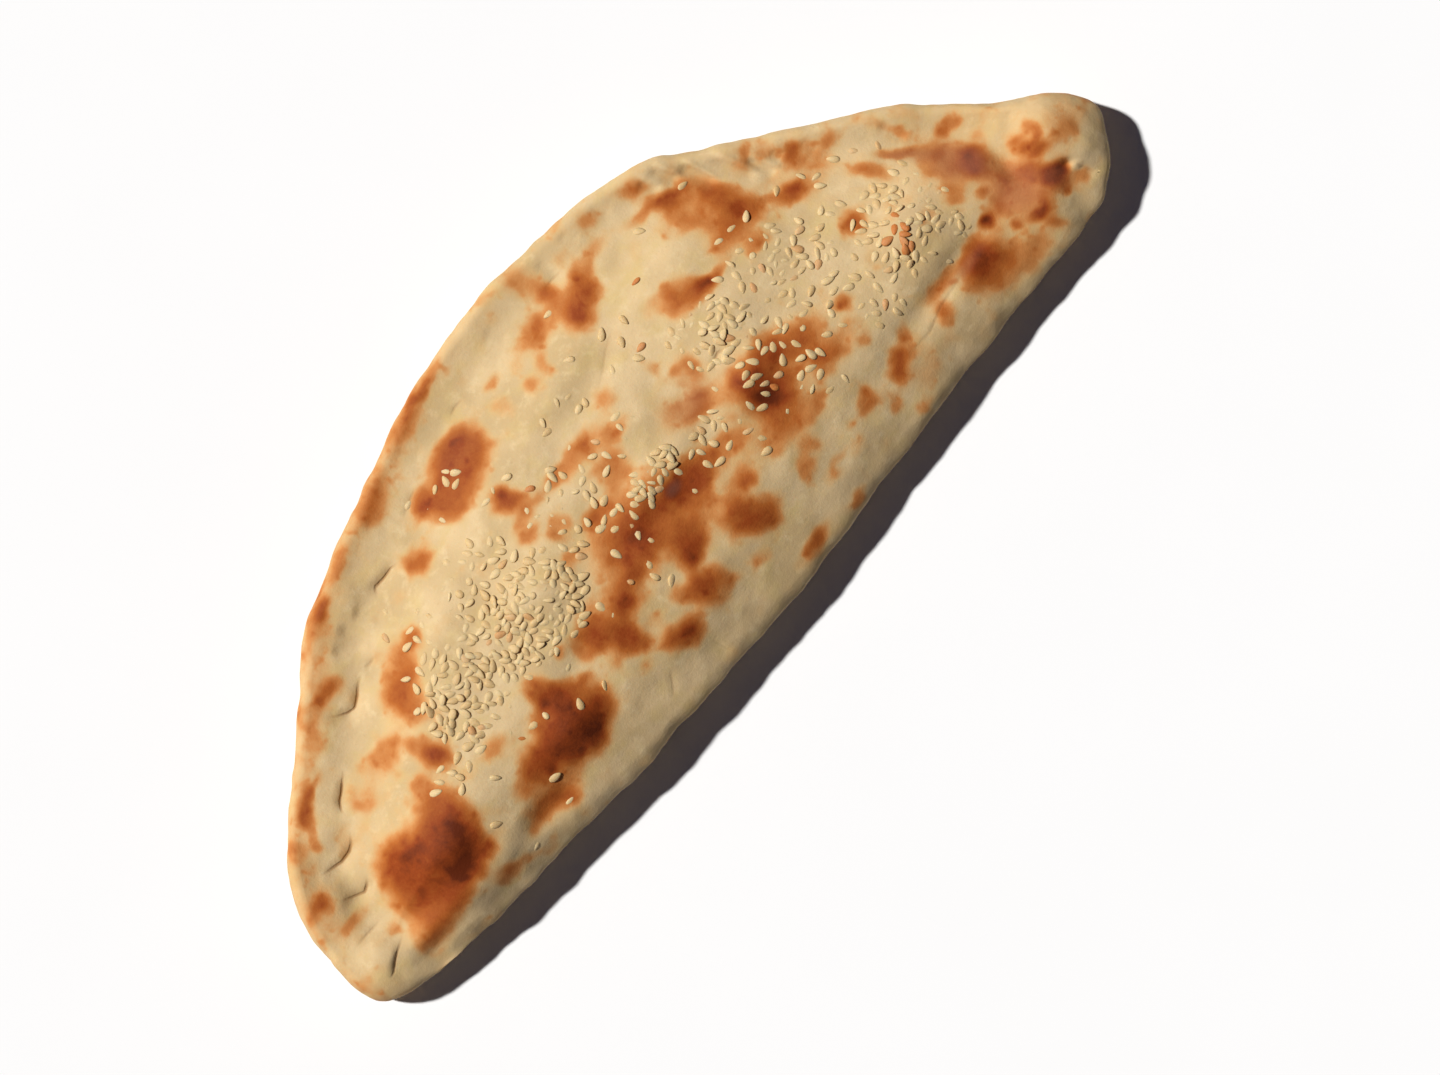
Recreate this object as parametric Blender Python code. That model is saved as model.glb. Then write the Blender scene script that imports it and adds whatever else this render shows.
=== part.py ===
"""A baked half-moon cheese pie: a round of dough folded over its filling, pinched shut along the
curved side and strewn with sesame seeds.

The pie lies flat with +Z up and its length along X. The straight fold is on the -Y side and the
pinched rim on the +Y side. The origin is the middle of the bounding box, on the surface that the pie
lies on. Plan sizes below are millimetres, and MM turns them into metres.
"""

import math
import random

import bmesh
import bpy
import numpy as np
from mathutils import Matrix, Vector, noise

MM = 0.001

# Driving sizes, in millimetres
FOLD_HEIGHT = 10.2          # the dough's height just inside the straight fold
GROOVE_HEIGHT = 7.4         # the floor of the groove that the fingers press inside the rim
DOME_GAIN = 10.4             # what the filling adds in the middle
END_HEIGHT = 10.6           # the height of the two ends, which have no groove
FOLD_EDGE = (3.0, 4.8, 8.9)     # width of the edge's round on top, and below, and its middle's height
RIM_EDGE = (3.2, 2.6, 5.0)      # the same three for the pinched rim
FOLD_RISE = 35.0            # how far in the dome goes on rising from the fold
RIM_RISE = 50.0             # and from the groove
SHOULDER_RISE = 20.0        # how far in from the groove the dough reaches the fold's height
LEFT_END = (-116.0, 14.0)   # where the left end starts along X, and how softly
RIGHT_END = (109.0, 16.0)   # the same for the right end

# The outline from above, anticlockwise from the left end of the fold
OUTLINE = [
    (-135.0, -34.0), (-124.0, -38.8), (-101.0, -43.2), (-78.0, -45.3), (-56.0, -48.4), (-32.0, -49.2),
    (0.0, -51.6), (40.0, -51.2), (85.0, -51.0), (114.5, -51.9), (125.5, -48.8), (133.8, -42.6),
    (137.3, -35.0), (132.8, -25.3), (123.5, -16.7), (108.2, 1.4), (90.0, 16.8), (80.6, 23.9),
    (71.0, 32.3), (62.7, 39.5), (51.9, 44.5), (28.6, 49.7), (5.0, 51.96), (-24.3, 49.6),
    (-59.1, 41.3), (-78.0, 35.4), (-91.2, 26.9), (-111.3, 13.8), (-121.0, 7.2), (-129.2, -2.0),
    (-134.6, -12.2), (-137.3, -24.5),
]
# The outline's four corners, as places in that list: the ends of the fold and of the rim
FOLD_LEFT, FOLD_RIGHT, RIM_RIGHT, RIM_LEFT = 0, 10, 12, 29

# How far the groove lies inside the rim's edge, at stations along X
GROOVE_STATIONS = [(-135.0, 14.5), (-60.0, 13.2), (-10.0, 11.6), (45.0, 8.6), (75.0, 10.5), (110.0, 8.0)]
# How far the pinched rim stands over the groove, at stations along X
ROLL_STATIONS = [(-135.0, 0.9), (-70.0, 1.0), (-30.0, 1.2), (25.0, 1.2), (60.0, 2.2), (110.0, 1.8)]
LIFT_STATIONS = [(-135.0, 0.6), (-100.0, 1.3), (-30.0, 1.3), (20.0, 0.2), (105.0, 0.0), (128.0, 2.4)]
WIDER_STATIONS = [(-135.0, 4.0), (-95.0, 4.0), (-65.0, 1.5), (-45.0, 0.0), (108.0, 0.0), (122.0, 4.0), (137.0, 5.0)]
LOWER_STATIONS = [(-135.0, 2.2), (-112.0, 2.2), (-92.0, 0.8), (-72.0, 0.0), (110.0, 0.0), (124.0, 2.2), (137.0, 2.6)]
# The fold grows thinner towards the left end

# Rises and dips of the top: x, y, half length, half width, turn in degrees, height
BULGES = [
    (34.0, -11.0, 10.0, 7.0, 10.0, 2.5),
    (3.0, -8.0, 14.0, 5.5, 3.0, 1.7),
    (-37.0, -3.0, 11.0, 8.5, 0.0, 1.9),
    (85.0, -19.0, 10.0, 8.5, 0.0, 2.6),
    (45.0, 3.0, 17.0, 8.0, 10.0, 1.4),
    (-56.0, -29.0, 10.0, 7.0, 0.0, 2.0),
    (-95.0, -23.0, 20.0, 12.0, 8.0, 3.4),
    (-70.0, 2.0, 17.0, 12.0, 10.0, 1.6),
    (108.0, -22.0, 8.0, 7.0, 0.0, 1.6),
    (115.0, -37.0, 9.0, 7.0, -30.0, 1.8),
    (-22.0, 31.0, 12.0, 8.0, 5.0, 1.5),
    (22.0, 32.0, 11.0, 7.0, 20.0, 1.2),
    (62.0, 17.0, 12.0, 9.0, -40.0, 1.4),
    (9.0, -32.0, 7.0, 8.0, 0.0, 0.8),
    (-10.0, -34.0, 7.0, 6.0, 0.0, 0.8),
    (-23.0, -36.0, 8.0, 6.0, -15.0, 0.8),
    (79.0, -33.0, 22.0, 4.5, 3.0, -1.8),
    (-74.0, -36.5, 12.0, 3.5, -6.0, -1.3),
    (-42.0, -20.0, 9.0, 5.0, 10.0, -1.0),
    (5.0, 16.0, 26.0, 6.0, 18.0, -1.0),
    (-124.0, -25.0, 8.0, 5.0, 10.0, 1.6),
    (-122.0, -8.0, 7.0, 5.0, 60.0, 1.4),
    (-114.0, 1.5, 7.0, 5.0, 35.0, 1.2),
    (-98.0, 14.0, 12.0, 6.0, 32.0, 1.4),
    (-80.0, 26.0, 9.0, 6.0, 30.0, 1.2),
    (-66.0, 32.0, 7.0, 5.0, 20.0, 0.9),
    (122.5, -31.0, 10.0, 8.5, -30.0, 5.2),
    (112.5, -28.0, 8.0, 3.0, 75.0, -1.6),
    (112.0, -44.0, 10.0, 6.0, 0.0, 1.8),
    (-101.0, -34.0, 14.0, 5.0, -7.0, 2.0),
    (-117.5, -32.0, 11.0, 5.0, -12.0, 3.2),
    (-84.0, -34.0, 10.0, 5.0, -4.0, 1.2),
]
# Pinches and cracks: half width, depth, and the places that each runs through
GASHES = [
    (2.4, 2.2, [(-131.0, -32.0), (-124.0, -29.5), (-117.0, -26.0)]),
    (2.2, 1.2, [(-129.0, -20.0), (-119.0, -21.5)]),
    (2.2, 1.6, [(-123.0, -11.0), (-118.0, -14.0), (-113.0, -12.6)]),
    (2.4, 2.4, [(-119.0, -4.0), (-111.0, -5.2), (-106.0, -1.0)]),
    (2.3, 2.0, [(-106.0, 1.5), (-103.0, 5.0), (-98.0, 7.5)]),
    (2.6, 3.0, [(-87.0, 15.5), (-82.0, 15.5), (-75.0, 18.8)]),
    (2.2, 1.8, [(-73.0, 24.0), (-67.0, 19.5)]),
    (2.4, 2.2, [(-60.0, 28.0), (-51.0, 28.5)]),
    (2.0, 1.2, [(-43.0, 33.5), (-35.0, 36.0)]),
    (2.0, 1.2, [(-18.0, 39.5), (-8.0, 40.0)]),
    (2.0, 1.1, [(2.0, 40.0), (12.0, 40.2)]),
    (2.0, 1.1, [(20.0, 40.5), (30.0, 40.0)]),
    (2.2, 2.0, [(116.0, -36.0), (119.0, -38.0), (123.0, -40.0)]),
]
# Pleats that the fingers left across the rim: x, y, half length, half width, turn, height
PLEATS = [
    (58.0, 35.5, 5.0, 1.8, 108.0, 1.0),
    (62.0, 33.5, 6.0, 1.8, 106.0, 1.2),
    (66.5, 28.0, 6.0, 1.9, 105.0, 1.3),
    (72.0, 24.0, 6.5, 2.0, 103.0, 1.3),
    (77.5, 16.5, 6.0, 2.0, 102.0, 1.2),
    (100.5, -2.0, 4.5, 2.0, 100.0, 1.0),
    (44.0, 41.0, 4.5, 2.2, 115.0, 0.9),
    (29.0, 43.5, 4.5, 2.4, 110.0, 0.9),
    (7.0, 44.0, 5.0, 2.8, 105.0, 0.8),
]
UNDULATION = (19.0, 0.75)       # wavelength and height of the dough's slow waviness

# Mesh divisions of the pie along X, along Y and down its edge
DIVISIONS = (64, 26, 4)

# Sesame seeds: patches as x, y, half length, half width, turn, and how many seeds try to lie there
SEED_SIZE = (3.15, 1.85, 1.1)
SEED_PATCHES = [
    (-58.0, -1.0, 20.0, 11.0, 8.0, 22),
    (-36.0, -3.0, 9.0, 9.0, 0.0, 8),
    (-50.0, 12.0, 22.0, 5.5, 0.0, 6),
    (-15.0, 4.0, 18.0, 7.0, 0.0, 6),
    (4.0, -6.0, 9.0, 4.5, 5.0, 5),
    (20.0, -13.0, 10.0, 6.0, 0.0, 4),
    (40.0, -15.0, 12.0, 8.0, 0.0, 7),
    (43.0, 1.0, 14.0, 6.0, 10.0, 8),
    (64.0, 0.0, 16.0, 9.0, 5.0, 10),
    (87.0, -17.0, 12.0, 10.0, 0.0, 13),
    (83.0, 2.0, 12.0, 6.0, -20.0, 5),
    (0.0, -12.0, 62.0, 14.0, 0.0, 22),
    (10.0, 19.0, 32.0, 7.0, 0.0, 8),
    (-30.0, 30.0, 7.0, 4.0, 20.0, 5),
    (-75.0, -17.0, 14.0, 8.0, 0.0, 7),
    (-72.0, -33.0, 16.0, 6.0, 0.0, 3),
    (61.0, 13.0, 7.0, 3.0, 0.0, 3),
]
SEED_GAP = 4.0                  # least distance between two seeds that are fused to the pie
SEED_SUNK = 0.42                # share of a seed's thickness that is baked into the dough
RANDOM_SEED = 7


def smooth_closed_curve(points, steps=24):
    """Points on the closed Catmull-Rom curve through the given ones, steps for each span."""
    count = len(points)
    curve = []
    for i in range(count):
        p0, p1, p2, p3 = (np.array(points[(i + k) % count]) for k in (-1, 0, 1, 2))
        for t in np.arange(steps) / steps:
            curve.append(
                0.5 * (2 * p1 + (p2 - p0) * t + (2 * p0 - 5 * p1 + 4 * p2 - p3) * t**2
                       + (3 * p1 - p0 - 3 * p2 + p3) * t**3)
            )
    return np.array(curve)


class Edge:
    """One of the outline's four sides: places, inward normals and rim share, by the share of its length."""

    def __init__(self, points, normals, rimness):
        self.points, self.normals, self.rimness = points, normals, rimness
        steps = np.linalg.norm(np.diff(points, axis=0), axis=1)
        self.length = np.concatenate([[0.0], np.cumsum(steps)])

    def at(self, values, share):
        along = np.asarray(share) * self.length[-1]
        return np.interp(along, self.length, values)

    def place(self, share):
        return np.stack([self.at(self.points[:, k], share) for k in (0, 1)], -1)

    def normal(self, share):
        n = np.stack([self.at(self.normals[:, k], share) for k in (0, 1)], -1)
        return n / np.linalg.norm(n, axis=-1, keepdims=True)


def outline_edges(steps=24):
    """The outline, its rim share, and its sides: fold and rim run to the right, the ends upwards."""
    curve = smooth_closed_curve(OUTLINE, steps)
    ahead, behind = np.roll(curve, -steps // 4, 0), np.roll(curve, steps // 4, 0)
    tangent = (ahead - behind) / np.linalg.norm(ahead - behind, axis=1, keepdims=True)
    normals = np.stack([-tangent[:, 1], tangent[:, 0]], -1)
    rimness = np.zeros(len(curve))
    rimness[RIM_RIGHT * steps :] = 1.0
    spread = 2 * steps
    window = np.hanning(spread * 2 + 1)
    wrapped = np.concatenate([rimness[-spread:], rimness, rimness[:spread]])
    rimness = np.convolve(wrapped, window / window.sum(), "valid")

    def side(first, last):
        index = np.arange(first * steps, last * steps + 1) % len(curve)
        return Edge(curve[index], normals[index], rimness[index])

    fold = side(FOLD_LEFT, FOLD_RIGHT)
    right = side(FOLD_RIGHT, RIM_RIGHT)
    rim = side(RIM_RIGHT, RIM_LEFT)
    left = side(RIM_LEFT, len(OUTLINE))
    rim = Edge(rim.points[::-1], rim.normals[::-1], rim.rimness[::-1])
    left = Edge(left.points[::-1], left.normals[::-1], left.rimness[::-1])
    return curve, rimness, (fold, right, rim, left)


def distance_to(curve, places):
    """How far each place is from a run of points."""
    a, b = curve[:-1], curve[1:]
    span = b - a
    length = np.maximum((span**2).sum(1), 1e-12)
    nearest = np.full(len(places), 1e9)
    for k in range(len(a)):
        t = np.clip(((places - a[k]) @ span[k]) / length[k], 0, 1)
        gap = np.linalg.norm(places - a[k] - t[:, None] * span[k], axis=1)
        nearest = np.minimum(nearest, gap)
    return nearest


def bulge(places, x, y, half_length, half_width, turn, height):
    """A smooth rise of that height whose foot is an ellipse."""
    c, s = math.cos(math.radians(turn)), math.sin(math.radians(turn))
    dx, dy = places[:, 0] - x, places[:, 1] - y
    along, across = (dx * c + dy * s) / half_length, (dy * c - dx * s) / half_width
    return height * np.exp(-1.4 * (along**2 + across**2))


def rising(share):
    """From 0 to 1, steep at first and level at the end."""
    return 1 - (1 - np.clip(share, 0, 1)) ** 2


def easing(share):
    """From 0 to 1, level at both ends."""
    share = np.clip(share, 0, 1)
    return share * share * (3 - 2 * share)


class Pie:
    """The pie's shape: where its edge runs, and how high its top is at any place."""

    def __init__(self):
        curve, self.curve_rimness, (self.fold, self.right, self.rim, self.left) = outline_edges()
        self.curve = curve
        self.fold_run = np.concatenate([self.fold.points, self.right.points])
        self.rim_run = np.concatenate([self.left.points, self.rim.points])
        self.closed = np.concatenate([curve, curve[:1]])

    def top(self, places):
        """The top's height, before the edge is rounded."""
        x, y = places[:, 0], places[:, 1]
        from_fold, from_rim = distance_to(self.fold_run, places), distance_to(self.rim_run, places)
        groove = np.interp(x, *zip(*GROOVE_STATIONS))
        lift = np.interp(x, *zip(*LIFT_STATIONS))
        shoulder = easing((from_rim - groove) / SHOULDER_RISE)
        dome = easing((from_rim - groove + 8) / (RIM_RISE + 8)) ** 0.7 * rising(from_fold / FOLD_RISE)
        roll = (1 - np.clip(from_rim / groove, 0, 1) ** 2) ** 2
        height = GROOVE_HEIGHT + (FOLD_HEIGHT + lift - GROOVE_HEIGHT) * shoulder + DOME_GAIN * dome
        height += np.interp(x, *zip(*ROLL_STATIONS)) * roll
        end = easing((LEFT_END[0] - x) / LEFT_END[1]) + easing((x - RIGHT_END[0]) / RIGHT_END[1])
        height += (END_HEIGHT + lift - height) * end
        for spot in BULGES + PLEATS:
            height += bulge(places, *spot)
        for half_width, depth, run in GASHES:
            height -= depth * np.exp(-((distance_to(np.array(run), places) / half_width) ** 2))
        wavelength, swing = UNDULATION
        height += swing * np.array([noise.noise(Vector((a / wavelength, b / wavelength, 0.3))) for a, b in zip(x, y)])
        return height

    def middle(self, places, rimness):
        """The height of the edge's middle."""
        lift, lower = (np.interp(places[:, 0], *zip(*run)) for run in (LIFT_STATIONS, LOWER_STATIONS))
        return self.blend(2, rimness) + (lift - lower) * (1 - rimness)

    def rounded(self, places, inset, rimness, height):
        """The top's height with its edge rounded down to the edge's middle."""
        middle = self.middle(places, rimness)
        wider = np.interp(places[:, 0], *zip(*WIDER_STATIONS)) * (1 - rimness)
        share = np.clip(inset / (self.blend(0, rimness) + wider), 0, 1)
        return middle + (height - middle) * np.sqrt(1 - (1 - share) ** 2)

    @staticmethod
    def blend(which, rimness):
        return FOLD_EDGE[which] + (RIM_EDGE[which] - FOLD_EDGE[which]) * rimness

    def rimness_at(self, places):
        """0 beside the fold and 1 beside the rim, for places near the edge."""
        nearest = [int(np.argmin(((self.curve - place) ** 2).sum(1))) for place in places]
        return self.curve_rimness[nearest]

    def surface(self, places):
        """The finished top at any place inside the outline."""
        inset = distance_to(self.closed, places)
        return self.rounded(places, inset, self.rimness_at(places), self.top(places))

    def inset_border(self, edge, share, inset):
        return edge.place(share) + edge.normal(share) * np.asarray(inset)[..., None]

    def patch(self, u, v, which):
        """A place inside the inset border, from its two shares: a Coons patch of the four sides."""
        def border(edge, share):
            return self.inset_border(edge, share, self.blend(which, edge.at(edge.rimness, share)))

        low, high, left, right = border(self.fold, u), border(self.rim, u), border(self.left, v), border(self.right, v)
        ends = [border(self.fold, np.zeros(1)), border(self.fold, np.ones(1)),
                border(self.rim, np.zeros(1)), border(self.rim, np.ones(1))]
        u, v = u[:, None], v[:, None]
        return ((1 - v) * low + v * high + (1 - u) * left + u * right
                - (1 - u) * (1 - v) * ends[0] - u * (1 - v) * ends[1] - (1 - u) * v * ends[2] - u * v * ends[3])


def divided_block(along, across, deep):
    """A closed block from -1 to 1, cut into that many parts each way."""
    bm = bmesh.new()
    bmesh.ops.create_cube(bm, size=2)
    for axis, parts in enumerate((along, across, deep)):
        edges = [e for e in bm.edges if abs(e.verts[0].co[axis] - e.verts[1].co[axis]) > 1e-6]
        bmesh.ops.subdivide_edges(bm, edges=edges, cuts=parts - 1, use_grid_fill=True)
    return bm


def shape_block(bm, pie):
    """Moves a divided block's vertices on to the pie."""
    vertices = list(bm.verts)
    unit = np.array([v.co for v in vertices])
    u, v = (unit[:, 0] + 1) / 2, (unit[:, 1] + 1) / 2
    placed = np.zeros((len(unit), 3))

    top = unit[:, 2] > 1 - 1e-5
    plan = pie.patch(u[top], v[top], 0)
    placed[top, :2] = plan
    placed[top, 2] = pie.surface(plan)

    under = unit[:, 2] < -1 + 1e-5
    placed[under, :2] = pie.patch(u[under], v[under], 1)
    placed[under, 2] = 0.0

    between = ~(top | under)
    sides = ((pie.fold, u, unit[:, 1] < -1 + 1e-5), (pie.rim, u, unit[:, 1] > 1 - 1e-5),
             (pie.left, v, unit[:, 0] < -1 + 1e-5), (pie.right, v, unit[:, 0] > 1 - 1e-5))
    for edge, share, on_side in sides:
        here = between & on_side
        rimness = edge.at(edge.rimness, share[here])
        angle = unit[here, 2] * math.pi / 2
        width = np.where(angle > 0, pie.blend(0, rimness), pie.blend(1, rimness))
        inset = width * (1 - np.cos(angle))
        plan = pie.inset_border(edge, share[here], inset)
        upper = pie.rounded(plan, inset, rimness, pie.top(plan))
        lower = pie.middle(plan, rimness) * (1 + np.sin(np.minimum(angle, 0)))
        placed[here, :2] = plan
        placed[here, 2] = np.where(angle > 0, upper, lower)

    for vertex, place in zip(vertices, placed):
        vertex.co = Vector(place) * MM


def flatten_underside(bm):
    """Joins the flat faces that the pie lies on into one."""
    flat = [f for f in bm.faces if all(abs(v.co.z) < 1e-7 for v in f.verts)]
    bmesh.ops.dissolve_faces(bm, faces=flat, use_verts=True)


def new_object(name, mesh, material, collection):
    thing = bpy.data.objects.new(name, mesh)
    thing.data.materials.append(material)
    collection.objects.link(thing)
    return thing


def baked_dough():
    material = bpy.data.materials.new("baked_dough")
    material.use_nodes = True
    shader = material.node_tree.nodes["Principled BSDF"]
    shader.inputs["Base Color"].default_value = (0.70, 0.49, 0.25, 1.0)
    shader.inputs["Roughness"].default_value = 0.62
    shader.inputs["Metallic"].default_value = 0.0
    return material


def make_crust(pie, material, collection):
    bm = divided_block(*DIVISIONS)
    shape_block(bm, pie)
    flatten_underside(bm)
    bmesh.ops.triangulate(bm, faces=list(bm.faces))
    bmesh.ops.recalc_face_normals(bm, faces=list(bm.faces))
    mesh = bpy.data.meshes.new("pie")
    bm.to_mesh(mesh)
    bm.free()
    return new_object("pie", mesh, material, collection)


def seed_mesh():
    """A sesame seed lying along X, pointed at one end, of unit length, width and thickness."""
    bm = bmesh.new()
    bmesh.ops.create_uvsphere(bm, u_segments=6, v_segments=3, radius=0.54)
    bmesh.ops.rotate(bm, verts=list(bm.verts), cent=(0, 0, 0), matrix=Matrix.Rotation(math.pi / 2, 3, "Y"))
    for vertex in bm.verts:
        slimmer = 1.0 - 0.55 * (vertex.co.x + 0.1)
        vertex.co.y *= slimmer
    mesh = bpy.data.meshes.new("sesame_seed")
    bm.to_mesh(mesh)
    bm.free()
    return mesh


def seed_places(draw):
    """Where the seeds lie and which way each points, no two closer than SEED_GAP."""
    laid = []
    for x, y, half_length, half_width, turn, tries in SEED_PATCHES:
        c, s = math.cos(math.radians(turn)), math.sin(math.radians(turn))
        placed = 0
        for _ in range(tries * 12):
            if placed >= tries:
                break
            reach, angle = math.sqrt(draw.random()), draw.uniform(0, 2 * math.pi)
            a, b = reach * math.cos(angle) * half_length, reach * math.sin(angle) * half_width
            px, py = x + a * c - b * s, y + a * s + b * c
            heading = draw.uniform(0, 2 * math.pi)
            if all(math.hypot(px - q[0], py - q[1]) > SEED_GAP for q in laid):
                laid.append((px, py, heading))
                placed += 1
    return laid


def make_seeds(pie, material, collection):
    """Seeds that lie on the slope of the top, each a little different in size."""
    draw = random.Random(RANDOM_SEED)
    places = seed_places(draw)
    plan = np.array([p[:2] for p in places])
    step = 1.2
    height = pie.surface(plan)
    slope_x = (pie.surface(plan + (step, 0)) - pie.surface(plan - (step, 0))) / (2 * step)
    slope_y = (pie.surface(plan + (0, step)) - pie.surface(plan - (0, step))) / (2 * step)
    shared = seed_mesh()
    length, width, thickness = SEED_SIZE
    for number, (x, y, heading) in enumerate(places):
        up = Vector((-slope_x[number], -slope_y[number], 1.0)).normalized()
        lay = up.to_track_quat("Z", "Y").to_matrix().to_4x4()
        size = draw.uniform(0.92, 1.1)
        scale = Matrix.Diagonal((length * size * MM, width * size * MM, thickness * MM, 1.0))
        lift = (0.5 - SEED_SUNK) * thickness
        place = Vector((x, y, height[number])) + up * lift
        seed = new_object(f"seed_{number:03d}", shared.copy(), material, collection)
        seed.data.transform(Matrix.Translation(place * MM) @ lay @ Matrix.Rotation(heading, 4, "Z") @ scale)


def fuse(crust, collection, solver="MANIFOLD"):
    """Joins the seeds to the crust in one union and clears the seeds away."""
    union = crust.modifiers.new("fuse_seeds", "BOOLEAN")
    union.operation = "UNION"
    union.operand_type = "COLLECTION"
    union.collection = collection
    union.solver = solver
    bpy.context.view_layer.update()
    graph = bpy.context.evaluated_depsgraph_get()
    fused = bpy.data.meshes.new_from_object(crust.evaluated_get(graph))
    crust.modifiers.clear()
    crust.data = fused
    for seed in list(collection.objects):
        bpy.data.objects.remove(seed, do_unlink=True)
    bpy.data.collections.remove(collection)


def drop_scraps(thing):
    """Keeps the largest connected piece of a mesh."""
    bm = bmesh.new()
    bm.from_mesh(thing.data)
    left, groups = set(bm.verts), []
    while left:
        group, queue = set(), [left.pop()]
        while queue:
            vertex = queue.pop()
            group.add(vertex)
            for edge in vertex.link_edges:
                other = edge.other_vert(vertex)
                if other in left:
                    left.remove(other)
                    queue.append(other)
        groups.append(group)
    largest = max(groups, key=len)
    bmesh.ops.delete(bm, geom=[v for g in groups if g is not largest for v in g], context="VERTS")
    bm.to_mesh(thing.data)
    bm.free()


def main():
    for thing in list(bpy.data.objects):
        bpy.data.objects.remove(thing, do_unlink=True)
    parts = bpy.data.collections.new("akkawi_cheese_pie")
    seeds = bpy.data.collections.new("sesame_seeds")
    bpy.context.scene.collection.children.link(parts)
    bpy.context.scene.collection.children.link(seeds)
    material = baked_dough()
    pie = Pie()
    crust = make_crust(pie, material, parts)
    make_seeds(pie, material, seeds)
    fuse(crust, seeds)
    drop_scraps(crust)
    crust.data.shade_smooth()


main()
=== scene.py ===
"""A baked half-moon cheese pie on a pale table: the dough with its folds, pinches and toasted
blisters, and the sesame seeds strewn over it. Plan sizes are millimetres, and MM makes them metres."""

import math
import random

import bmesh
import bpy
import numpy as np
from mathutils import Matrix, Vector, noise


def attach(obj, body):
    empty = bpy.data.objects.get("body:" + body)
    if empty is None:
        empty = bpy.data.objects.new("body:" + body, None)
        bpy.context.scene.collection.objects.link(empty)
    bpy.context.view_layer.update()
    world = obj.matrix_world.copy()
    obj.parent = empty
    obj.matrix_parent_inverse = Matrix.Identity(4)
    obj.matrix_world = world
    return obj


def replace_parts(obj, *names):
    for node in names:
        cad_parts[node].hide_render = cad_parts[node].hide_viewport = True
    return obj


MM = 0.001

# The dough's shape

FOLD_HEIGHT = 10.2
GROOVE_HEIGHT = 7.4     # behind the rim
DOME_GAIN = 10.4        # how much higher the dome's middle is
END_HEIGHT = 10.6
# Each edge: how far in its round reaches above and below, and the height of its middle
FOLD_EDGE = (3.0, 4.8, 8.9)
RIM_EDGE = (3.2, 2.6, 5.0)
# How far in from the fold, and from behind the rim, the dome and the shoulder go on rising
FOLD_RISE = 35.0
RIM_RISE = 50.0
SHOULDER_RISE = 20.0
DOME_OVERLAP = 8.0      # how far the dome starts before the shoulder does
DOME_POWER = 0.7        # below 1, the dome rises steeply first and is flatter on top
BULGE_FALL = 1.4        # how quickly a rise or a dip fades away from its middle
# Where each end's level part begins along X, and over what length it takes over
LEFT_END = (-116.0, 14.0)
RIGHT_END = (109.0, 16.0)

# The outline from above, anticlockwise from the left end of the fold
OUTLINE = [
    (-135.0, -34.0), (-124.0, -38.8), (-101.0, -43.2), (-78.0, -45.3), (-56.0, -48.4), (-32.0, -49.2),
    (0.0, -51.6), (40.0, -51.2), (85.0, -51.0), (114.5, -51.9), (125.3, -48.7), (132.9, -42.2),
    (137.3, -35.0), (132.8, -25.3), (123.5, -16.7), (108.2, 1.4), (90.0, 16.8), (80.6, 23.9),
    (71.0, 32.3), (62.7, 39.5), (51.9, 44.5), (28.6, 49.7), (5.0, 51.96), (-24.3, 49.6),
    (-59.1, 41.3), (-78.0, 35.4), (-91.2, 26.9), (-111.3, 13.8), (-121.0, 7.2), (-129.2, -2.0),
    (-134.6, -12.2), (-137.3, -24.5),
]
FOLD_LEFT, FOLD_RIGHT, RIM_RIGHT, RIM_LEFT = 0, 10, 12, 29

# Along X: how far the groove behind the rim lies from the edge, how high the rim rolls up, how much
# higher the fold is, how much wider its round is, and how much lower its edge's middle is
GROOVE_STATIONS = [(-135.0, 14.5), (-60.0, 13.2), (-10.0, 11.6), (45.0, 8.6), (75.0, 10.5), (110.0, 8.0)]
ROLL_STATIONS = [
    (-135.0, 0.8), (-110.0, 1.0), (-70.0, 1.9), (-35.0, 1.4), (25.0, 1.2), (60.0, 1.8), (110.0, 1.7),
]
LIFT_STATIONS = [
    (-135.0, 1.4), (-100.0, 1.8), (-70.0, 1.3), (-30.0, 1.3), (20.0, 0.2), (105.0, 0.0), (128.0, 3.2),
]
WIDER_STATIONS = [
    (-135.0, 4.0), (-95.0, 4.0), (-65.0, 1.5), (-45.0, 0.0), (108.0, 0.0), (122.0, 4.0), (137.0, 5.0),
]
LOWER_STATIONS = [
    (-135.0, 1.2), (-112.0, 1.4), (-92.0, 0.4), (-72.0, 0.0), (110.0, 0.0), (124.0, 1.2), (137.0, 0.4),
]

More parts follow.
